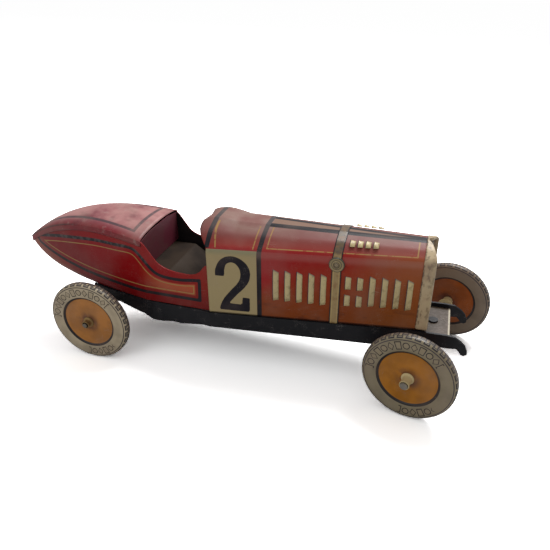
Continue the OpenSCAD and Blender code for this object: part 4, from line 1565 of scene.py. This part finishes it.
def stand_row(name: str, tree: bpy.types.NodeTree, count: int, first: Sequence[float], step: Sequence[float],
              turn: Sequence[float]) -> bpy.types.Object:
    """Stands one row of repeated pieces and makes it plain.

    Args:
        name: The row's name.
        tree: The row tree.
        count: Number of pieces.
        first: Place of the first in millimetres from the pivot.
        step: Step between neighbours in millimetres.
        turn: Turn of each piece in radians.

    Returns:
        The row as a plain mesh object.
    """
    obj = bpy.data.objects.new(name, bpy.data.meshes.new(name))
    bpy.context.scene.collection.objects.link(obj)
    modifier = obj.modifiers.new("row", "NODES")
    modifier.node_group = tree
    ids = {item.name: item.identifier for item in tree.interface.items_tree if item.in_out == "INPUT"}
    modifier[ids["Count"]] = count
    modifier[ids["First"]] = tuple((np.array(first) + PIVOT) * MM)
    modifier[ids["Step"]] = tuple(np.array(step) * MM)
    modifier[ids["Turn"]] = tuple(turn)
    return settle(obj)


def join(name: str, pieces: Sequence[bpy.types.Object]) -> bpy.types.Object:
    """Joins pieces into one object with smooth faces.

    Args:
        name: The joined object's name.
        pieces: The pieces, which share one material.

    Returns:
        The object.
    """
    with bpy.context.temp_override(active_object=pieces[0], object=pieces[0], selected_objects=list(pieces),
                                   selected_editable_objects=list(pieces)):
        bpy.ops.object.join()
    pieces[0].name = name
    pieces[0].data.name = name
    for polygon in pieces[0].data.polygons:
        polygon.use_smooth = True
    return pieces[0]


@dataclass(frozen=True)
class Louvres:
    """Every row of pressed louvres on the bonnet's sides and shoulders."""

    lines: BodyLines
    rows: tuple[tuple[float, float, int, float, float], ...] = (
        (-100.1, 7.6, 5, 53.0, 23.0), (-54.5, 7.4, 2, 66.4, 9.6), (-54.5, 7.4, 2, 54.4, 8.6),
        (-39.6, 7.55, 4, 55.6, 22.0),
    )
    shoulder: tuple[float, float, int] = (-54.4, 4.75, 4)

    def build(self) -> bpy.types.Object:
        """Builds all the louvres.

        Returns:
            One closed mesh for each louvre, in one object.
        """
        lines = self.lines
        paint = CreamPress().make()
        lean = math.atan2(lines.scuttle_w - lines.nose_w, -10.0 - lines.scuttle)
        pieces = []
        for number, (x, pitch, count, low, length) in enumerate(self.rows):
            helper = Louvre(length).build()
            for side in Side:
                turn = (0.0, 0.0, lean)
                if side is Side.LEFT:
                    helper.data.transform(Matrix.Diagonal((-1, 1, 1, 1)))
                    helper.data.flip_normals()
                    helper.data.update()
                    turn = (0.0, 0.0, math.pi - lean)
                tree = row_tree(f"louvre row {number} {side.name.lower()}", helper, paint)
                first = (x, side.value * float(lines.side_w(x)), low + length / 2)
                step = (pitch, -side.value * math.tan(lean) * pitch, 0)
                pieces.append(stand_row(f"row_{number}_{side.name.lower()}", tree, count, first, step, turn))
            bpy.data.objects.remove(helper)
        helper = Louvre(6.0, 3.4, 1.3).build()
        tree = row_tree("shoulder louvres", helper, paint)
        x, pitch, count = self.shoulder
        z = float(lines.crease(x)) * 0.36 + float(lines.strip_z(x)) * 0.64 + 0.55
        for side in Side:
            y = side.value * (float(lines.side_w(x)) * 0.55 + float(lines.strip_w(x)) * 0.45)
            tilt = math.radians(-72 if side is Side.RIGHT else -108)
            step = (pitch, -side.value * 0.3, 0.1)
            pieces.append(stand_row(f"shoulder_{side.name}", tree, count, (x, y, z), step, (tilt, 0.0, 0.0)))
        bpy.data.objects.remove(helper)
        return join("louvres", pieces)

    def dress(self) -> None:
        """Builds the louvres and sets them on the body."""
        stand_for(self.build(), "chassis", "bonnet_louvres")


@dataclass(frozen=True)
class Strap:
    """The printed strap over the bonnet, with a round buckle on each side."""

    lines: BodyLines
    start: float
    end: float
    sheet: float = 0.5
    lift: float = 0.06
    buckle_r: float = 4.9
    buckle_z: float = 83.6

    @classmethod
    def from_frame(cls, lines: BodyLines) -> "Strap":
        """Reads the strap's place from the frame."""
        low, high = box_mm("bonnet_strap")
        return cls(lines, float(low[0]), float(high[0]))

    @property
    def middle(self) -> float:
        """Middle of the strap along the car."""
        return (self.start + self.end) / 2

    def build(self) -> bpy.types.Object:
        """Builds the strap on the bonnet's section.

        Returns:
            The strap's surface, open.
        """
        bonnet = Bonnet(self.lines)
        rows, plans = [], []
        for x in np.linspace(self.start, self.end, 13):
            half = bonnet.section(x, 0.0)
            drop = arc_length(half[:, 1:])
            drop = drop - drop[bonnet.crease_point]
            right = np.column_stack([np.full(len(half), x), half[:, 1:]])
            rows.append(np.vstack([right, right[-2::-1] * [1, -1, 1]]))
            both = np.concatenate([drop, drop[-2::-1]])
            plans.append(np.column_stack([np.full(len(both), x), both, both * 0]))
        grid = np.array(rows)
        out = np.gradient(grid, axis=1)
        normal = np.stack([0 * out[..., 0], -out[..., 2], out[..., 1]], -1)
        normal /= np.linalg.norm(normal, axis=-1, keepdims=True)
        grid = grid + normal * self.lift
        obj = build_mesh("strap", grid.reshape(-1, 3), grid_faces(*grid.shape[:2]),
                         {"plan": np.array(plans).reshape(-1, 3)})
        clean(obj, (-62, 0, 60))
        return obj

    def build_buckles(self) -> bpy.types.Object:
        """Builds a stepped round buckle on each side.

        Returns:
            Both buckles.
        """
        r = self.buckle_r
        profile = np.array([
            (0.02, -0.3), (r, -0.3), (r, 0.5), (r - 0.5, 0.85), (r - 1.0, 0.55), (2.9, 0.5), (2.6, 0.9),
            (2.1, 1.0), (1.7, 0.6), (1.2, 1.0), (0.5, 1.2), (0.02, 1.22),
        ])
        pieces = []
        for side in Side:
            y = side.value * (float(self.lines.side_w(self.middle)) + 0.4)
            lay = Matrix.Rotation(math.radians(-90 * side.value), 4, "X")
            stand = Matrix.Translation((self.middle, y, self.buckle_z)) @ lay
            pieces.append(lathe(f"buckle_{side.name}", profile, 32, stand))
        return join("buckles", pieces)

    def dress(self) -> None:
        """Builds and finishes the strap and its buckles."""
        strap, buckles = self.build(), self.build_buckles()
        strap.data.materials.append(StrapPrint(self.lines, self.middle, (self.end - self.start) / 2).make())
        give_wall(strap, self.sheet, Wall.OUTWARD)
        buckles.data.materials.append(BuckleFace().make())
        crisp(buckles, 50)
        stand_for(strap, "chassis", "bonnet_strap")
        stand_for(buckles, "chassis", "strap_buckles")


@dataclass(frozen=True)
class Radiator:
    """The radiator: a band with a rolled front edge and a rounded upper corner, and the face inside it."""

    lines: BodyLines
    rear: float
    front: float
    low: float
    proud: float = 0.55
    wall: float = 2.3
    roll: float = 1.1
    corner_r: float = 6.5
    face_sheet: float = 0.6
    face_setback: float = 2.9

    @classmethod
    def from_frame(cls, lines: BodyLines) -> "Radiator":
        """Reads the band's size from the frame."""
        low, high = box_mm("radiator_shell")
        return cls(lines, float(low[0]) + 2.4, float(high[0]), float(low[2]))

    def outline(self, inset: float) -> np.ndarray:
        """Draws the band's outline seen from the front, round the bonnet's section.

        Args:
            inset: How far the outline lies inside the band's outer face.

        Returns:
            Points (y, z) in order, closed.
        """
        half = Bonnet(self.lines).section(self.rear - 1.0, 0.0)[:, 1:]
        half = half[half[:, 1] > self.low + 4]
        foot = fillet_chain([(0.0, self.low), (half[0, 0], self.low), tuple(half[0])], [3.0], [8, 2], 6)
        half = np.vstack([foot, half[1:]])
        along = np.gradient(half, axis=0)
        normal = np.column_stack([-along[:, 1], along[:, 0]])
        normal /= np.linalg.norm(normal, axis=1, keepdims=True)
        away = self.proud - inset
        half = half + normal * away * np.where(half[:, 1:] < self.low + 0.5, np.minimum(away, 0) / away, 1.0)
        half[0, 0] = half[-1, 0] = 0.0
        return np.vstack([half, (half * np.array([-1, 1]))[::-1][1:-1]])

    def length_share(self, z: Span, top: float) -> Span:
        """Gives the share of the band's length that its rounded upper corner leaves at a height.

        Args:
            z: The height.
            top: The outline's highest point.

        Returns:
            The share, 1 below the corner.
        """
        length = self.front - self.rear
        rise = np.clip(z - (top - self.corner_r), 0, self.corner_r)
        return (length - self.corner_r + np.sqrt(self.corner_r**2 - rise**2)) / length

    def build_band(self) -> bpy.types.Object:
        """Builds the closed band.

        Returns:
            The band.
        """
        r, f, roll, wall = self.rear, self.front, self.roll, self.wall
        loops = [(r, 0.5), (r + 0.4, 0.12), (r + 1.0, 0.0)]
        loops += [(x, 0.0) for x in np.linspace(r + 2.0, f - roll - 0.2, 6)]
        loops += [(f - roll + roll * math.sin(a), roll - roll * math.cos(a))
                  for a in np.linspace(0.25, 2.6, 8)]
        loops += [(f - roll * 1.6, wall - 0.1), (f - roll * 2.2, wall), (r + 0.6, wall), (r, wall - 0.3)]
        rows = []
        for x, inset in loops:
            o = self.outline(inset + 1e-4)
            rows.append(np.column_stack([r + (x - r) * self.length_share(o[:, 1], o[:, 1].max()), o]))
        grid = np.array(rows)
        grid = np.concatenate([grid, grid[:, :1]], 1)
        obj = build_mesh("radiator_band", grid.reshape(-1, 3), grid_faces(*grid.shape[:2], ring=True))
        face_outward(obj, merge=True)
        return obj

    def build_face(self) -> bpy.types.Object:
        """Builds the mesh-printed face just behind the band's front edge.

        Returns:
            The face.
        """
        columns = 21
        inner = self.outline(self.wall - 0.2)
        half = inner[:len(inner) // 2 + 1]
        top = self.outline(0.0)[:, 1].max()
        rows = []
        for z in np.linspace(half[:, 1].min() + 0.05, half[:, 1].max() - 0.05, 48):
            w = float(np.interp(z, half[5:, 1], -half[5:, 0]))
            share = self.length_share(z + self.wall, top)
            x = self.rear + (self.front - self.face_setback - self.rear) * share
            rows.append([(x, y, z) for y in np.linspace(-w, w, columns)])
        grid = np.array(rows)
        obj = build_mesh("radiator_face", grid.reshape(-1, 3), grid_faces(*grid.shape[:2]))
        clean(obj, (-60, 0, 60))
        return obj

    def dress(self) -> None:
        """Builds and finishes the band and the face."""
        band, face = self.build_band(), self.build_face()
        band.data.materials.append(RadiatorPrint().make())
        face.data.materials.append(MeshPrint().make())
        give_wall(face, self.face_sheet, Wall.INWARD)
        stand_for(band, "chassis", "radiator_shell")
        stand_for(face, "chassis", "radiator_core")


def axle_stand(centre: np.ndarray, axis_turn: float, out: float) -> Matrix:
    """Stands a turned piece on its axle.

    Args:
        centre: The wheel's middle in millimetres from the pivot.
        axis_turn: Turn of the axle about the upright, in degrees.
        out: Which way along y the piece's own z points, 1 or -1.

    Returns:
        The piece's place in millimetres.
    """
    turn = Matrix.Rotation(math.radians(axis_turn), 4, "Z")
    return Matrix.Translation(centre) @ turn @ Matrix.Rotation(math.radians(-90 * out), 4, "X")


def middle_of(nodes: Sequence[str]) -> np.ndarray:
    """Finds the middle of the box round some frame nodes.

    Args:
        nodes: The nodes.

    Returns:
        The middle in millimetres from the pivot.
    """
    boxes = [box_mm(node) for node in nodes]
    return (np.min([low for low, _ in boxes], 0) + np.max([high for _, high in boxes], 0)) / 2


@dataclass(frozen=True)
class Wheel:
    """One pressed two-part wheel: a printed outer dish and a dulled inner one."""

    body: str
    nodes: tuple[str, str]
    axis_turn: float
    out: float
    finishes: tuple[bpy.types.Material, bpy.types.Material]
    half_w: float = 3.75
    bore: float = 3.41

    def face(self) -> np.ndarray:
        """Draws one half's closed section.

        Returns:
            Points (radius, reach).
        """
        h, b = self.half_w, self.bore
        face = through([(b, h - 1.4), (8.0, h - 1.45), (13.0, h - 1.45), (17.6, h - 1.4), (18.5, h - 0.85),
                        (20.2, h - 0.2), (23.4, h), (26.0, h - 0.12), (27.6, h - 0.55), (28.6, h - 1.35),
                        (28.97, 1.5), (29.0, 0.03)], 3)
        inner = [(28.3, 0.03), (28.25, 1.4), (27.9, h - 1.75), (26.8, h - 1.05), (23.4, h - 0.72),
                 (20.2, h - 0.95), (18.4, h - 1.6), (17.2, h - 2.1), (b, h - 2.1)]
        return np.vstack([face, inner])

    def dress(self) -> None:
        """Builds both halves, sets them in place and finishes them."""
        centre = middle_of(self.nodes)
        for node, finish, sign in zip(self.nodes, self.finishes, (1, -1)):
            stand = axle_stand(centre, self.axis_turn, self.out * sign)
            obj = lathe(f"{node}_print", self.face(), 160, stand)
            crisp(obj, 60)
            obj.data.materials.append(finish)
            stand_for(obj, self.body, node)


@dataclass(frozen=True)
class Hub:
    """A wheel's rolled hub tube with a thin collar, open at its outer end."""

    body: str
    node: str
    axis_turn: float
    out: float
    finishes: tuple[bpy.types.Material, bpy.types.Material]
    bore: float
    tube_r: float
    reach: float
    collar_r: float
    cup_reach: float
    wheel_half: float = 3.75
    wheel_bore: float = 3.38

    def dress(self) -> None:
        """Builds the hub along its wheel's axis and finishes it."""
        h, r, b, c, bored = self.wheel_half, self.tube_r, self.bore, self.collar_r, self.wheel_bore
        end, cup = h + self.reach, -h - self.cup_reach
        profile = np.array([
            (b, cup + 1.2), (b, end - 2.6), (r - 0.7, end - 2.4), (r - 0.65, end - 0.3), (r - 0.45, end),
            (r - 0.15, end - 0.05), (r, end - 0.35), (r - 0.25, end - 0.9), (r - 0.3, h - 0.3),
            (r + 0.1, h - 0.75), (c, h - 0.85), (c + 0.1, h - 1.1), (c, h - 1.36), (bored, h - 1.36),
            (bored, cup + 1.3), (c + 1.2, cup + 1.2), (c + 1.5, cup + 0.6), (c + 1.3, cup + 0.1),
            (c + 0.8, cup), (b + 0.6, cup + 0.2),
        ])
        centre = middle_of([self.node.replace("hub", half) for half in ("outer", "inner")])
        obj = lathe(f"{self.node}_tube", profile, 48, axle_stand(centre, self.axis_turn, self.out))
        crisp(obj, 55)
        tube, hollow = self.finishes
        obj.data.materials.append(tube)
        obj.data.materials.append(hollow)
        # The faces inside the tube's open mouth take the dark hollow finish, as painted shade.
        for polygon in obj.data.polygons:
            if polygon.index % len(profile) in (1, 2):
                polygon.material_index = 1
        stand_for(obj, self.body, self.node)


@dataclass(frozen=True)
class FrameFinish:
    """Bevelled edges and finishes for the frame nodes that stay in view."""

    bevel: float = 0.22
    crease_angle: float = 50.0
    softened: tuple[str, ...] = ("black_enamel", "tan_print", "maroon_inner", "key_tin")

    def finishes(self) -> dict[str, bpy.types.Material]:
        """Builds one finish for each material slot of the record.

        Returns:
            Slot name to material.
        """
        fold = float(box_mm("front_apron")[1][0]) - 0.6
        metals = (
            Metal("bare tin", ink(50, 38, 28), ink(32, 24, 19), 0.65, 0.2),
            Metal("plate steel", ink(176, 174, 168), ink(104, 90, 76), 0.42),
            Metal("bright steel", ink(150, 144, 134), ink(86, 76, 66), 0.34, 0.95),
            Metal("dark steel", ink(92, 92, 98), ink(60, 50, 46), 0.42),
            Metal("blued steel", ink(60, 70, 104), ink(40, 40, 52), 0.34, 1.0),
            Metal("gear brass", ink(206, 170, 98), ink(120, 88, 48), 0.34, 1.0),
            Metal("key tin", ink(176, 170, 158), ink(104, 90, 76), 0.4),
        )
        enamels = (
            Enamel("black enamel", ink(24, 24, 28), ink(46, 43, 46), ink(140, 132, 128), 0.34, 0.12,
                   scratches=1.0, specks=0.9),
            Enamel("maroon inner", ink(98, 36, 50), ink(84, 60, 56), ink(44, 26, 28), 0.46, 0.1),
        )
        made = {finish.name.replace(" ", "_"): finish.make() for finish in metals + enamels}
        made["tan_print"] = ApronPrint(fold).make()
        return made

    def dress(self) -> None:
        """Gives every frame node still shown its finish, and softened edges to those in the softened slots.
        """
        made = self.finishes()
        slots = {s["node"]: s["material_slot"] for s in frame["record"]["subparts"]}
        for name, obj in frame["nodes"].items():
            if obj.hide_render:
                continue
            obj.data.materials.clear()
            obj.data.materials.append(made["black_enamel" if name == "steering_pin" else slots[name]])
            weld = obj.modifiers.new("weld", "WELD")
            weld.merge_threshold = MERGE / 2
            if slots[name] in self.softened:
                soft = obj.modifiers.new("soft edges", "BEVEL")
                soft.width = self.bevel * MM
                soft.segments = 2
                soft.limit_method = "ANGLE"
                soft.angle_limit = math.radians(self.crease_angle)
                soft.harden_normals = False
            log.info("finished frame node %s as %s", name, slots[name])


@dataclass(frozen=True)
class Studio:
    """Pale floor, soft light and the camera."""

    place: tuple[float, float, float] = (0.11917, -0.32219, 0.23994)
    azimuth: float = 16.46
    elevation: float = 28.586
    lens: float = 36.18
    sky: float = 0.45
    key_power: float = 18.0
    front_power: float = 3.0
    floor_half: float = 6.0
    floor_seen: float = 2.2
    floor_bounce: float = 0.5

    def floor_finish(self) -> bpy.types.Material:
        """Builds the floor's white, which the camera sees brighter than the car does.

        Returns:
            The floor's material.
        """
        material = bpy.data.materials.new("floor white")
        material.use_nodes = True
        tree = material.node_tree
        tree.nodes.clear()
        seen = Field(tree, tree.nodes.new("ShaderNodeLightPath").outputs["Is Camera Ray"])
        grey = seen * (self.floor_seen - self.floor_bounce) + self.floor_bounce
        shader, sink = tree.nodes.new("ShaderNodeBsdfDiffuse"), tree.nodes.new("ShaderNodeOutputMaterial")
        tree.links.new(grey.socket, shader.inputs["Color"])
        tree.links.new(shader.outputs[0], sink.inputs[0])
        return material

    def lamp(self, name: str, place: Sequence[float], size: float, power: float) -> None:
        """Adds a square lamp aimed at the car.

        Args:
            name: The lamp's name.
            place: Its place in metres.
            size: Its side in metres.
            power: Its power in watts.
        """
        data = bpy.data.lights.new(name, "AREA")
        data.size, data.energy = size, power
        obj = bpy.data.objects.new(name, data)
        aim = Vector((0, 0, 0.05)) - Vector(place)
        obj.matrix_world = Matrix.Translation(place) @ aim.to_track_quat("-Z", "Y").to_matrix().to_4x4()
        bpy.context.scene.collection.objects.link(obj)

    def build(self) -> None:
        """Builds the floor, the light and the camera."""
        mesh = bpy.data.meshes.new("floor")
        s = self.floor_half
        mesh.from_pydata([(-s, -s, 0), (s, -s, 0), (s, s, 0), (-s, s, 0)], [], [(0, 1, 2, 3)])
        floor = bpy.data.objects.new("floor", mesh)
        bpy.context.scene.collection.objects.link(floor)
        mesh.materials.append(self.floor_finish())
        self.lamp("key", (0.25, 0.75, 1.1), 0.7, self.key_power)
        self.lamp("front", (-0.5, -1.0, 0.9), 1.0, self.front_power)
        world = bpy.data.worlds.new("studio")
        world.use_nodes = True
        tree = world.node_tree
        seen = Field(tree, tree.nodes.new("ShaderNodeLightPath").outputs["Is Camera Ray"])
        strength = seen * (1.0 - self.sky) + self.sky
        tree.nodes["Background"].inputs["Color"].default_value = (1, 1, 1, 1)
        tree.links.new(strength.socket, tree.nodes["Background"].inputs["Strength"])
        bpy.context.scene.world = world
        camera = bpy.data.cameras.new("camera")
        camera.lens, camera.sensor_width = self.lens, 36.0
        camera.clip_start = 0.01
        obj = bpy.data.objects.new("camera", camera)
        a, e = math.radians(self.azimuth), math.radians(self.elevation)
        back = Vector((math.sin(a) * math.cos(e), -math.cos(a) * math.cos(e), math.sin(e)))
        obj.matrix_world = Matrix.Translation(self.place) @ back.to_track_quat("Z", "Y").to_matrix().to_4x4()
        bpy.context.scene.collection.objects.link(obj)
        bpy.context.scene.camera = obj
        bpy.context.scene.view_settings.view_transform = "Standard"


def wheel_finishes() -> dict[str, bpy.types.Material]:
    """Builds the wheels' finishes.

    Returns:
        Finishes by name: the front and rear prints and hubs, the hubs' hollow and the inner halves' print.
    """
    cream = Enamel("hub cream", ink(206, 186, 138), ink(150, 124, 96), ink(90, 66, 58), 0.36, 0.2)
    # Painted shade: the dark purple-grey inside the hubs' open mouths.
    hollow = Enamel("hub hollow", ink(58, 42, 58), ink(40, 32, 38), ink(80, 60, 60), 0.6, 0.0)
    return {
        "front hub": cream.make(),
        "rear hub": Metal("hub brass", ink(170, 140, 92), ink(84, 60, 44), 0.42, 0.7).make(),
        "hollow": hollow.make(),
        "front": WheelPrint("front wheel print", ink(174, 110, 26), ink(138, 126, 102), 0.0).make(),
        "rear": WheelPrint("rear wheel print", ink(180, 118, 56), ink(186, 170, 142), 0.04).make(),
        "inner": WheelPrint("inner wheel print", ink(156, 78, 22), ink(140, 122, 104), 0.1, False).make(),
    }


def frame_axis(joint: str) -> tuple[float, float, float]:
    """Reads a joint's axis from the record, pointing to the driver's left.

    Args:
        joint: The joint's name.

    Returns:
        The axis.
    """
    axis = next(j["axis"] for j in frame["record"]["behaviour"]["joints"] if j["name"] == joint)
    sign = 1.0 if axis[1] > 0 else -1.0
    return tuple(sign * a for a in axis)


def dress_wheels() -> None:
    """Builds the four wheels with their hubs, the front pair turned as the axle stands at rest."""
    prints = wheel_finishes()
    along, across, _ = frame_axis("front_wheel_right_spin")
    hubs = {
        "front": {"bore": 1.72, "tube_r": 3.1, "reach": 6.2, "collar_r": 3.9, "cup_reach": 6.8},
        "rear": {"bore": 1.62, "tube_r": 2.7, "reach": 3.2, "collar_r": 3.7, "cup_reach": 3.0},
    }
    for end, turn in (("front", -math.degrees(math.atan2(along, across))), ("rear", 0.0)):
        for side in Side:
            where = f"{end}_wheel_{side.name.lower()}"
            body = where if end == "front" else "rear_axle"
            halves = (f"{where}_outer", f"{where}_inner")
            Wheel(body, halves, turn, side.value, (prints[end], prints["inner"])).dress()
            finishes = (prints[f"{end} hub"], prints["hollow"])
            Hub(body, f"{where}_hub", turn, side.value, finishes, **hubs[end]).dress()


def main() -> None:
    """Builds every sub-assembly in order."""
    logging.basicConfig(level=logging.INFO, format="%(name)s %(message)s")
    lines = BodyLines.from_frame()
    Tail(lines).dress()
    Bonnet(lines).dress()
    Louvres(lines).dress()
    Strap.from_frame(lines).dress()
    Radiator.from_frame(lines).dress()
    dress_wheels()
    FrameFinish().dress()
    Studio().build()


if __name__ == "__main__":
    main()
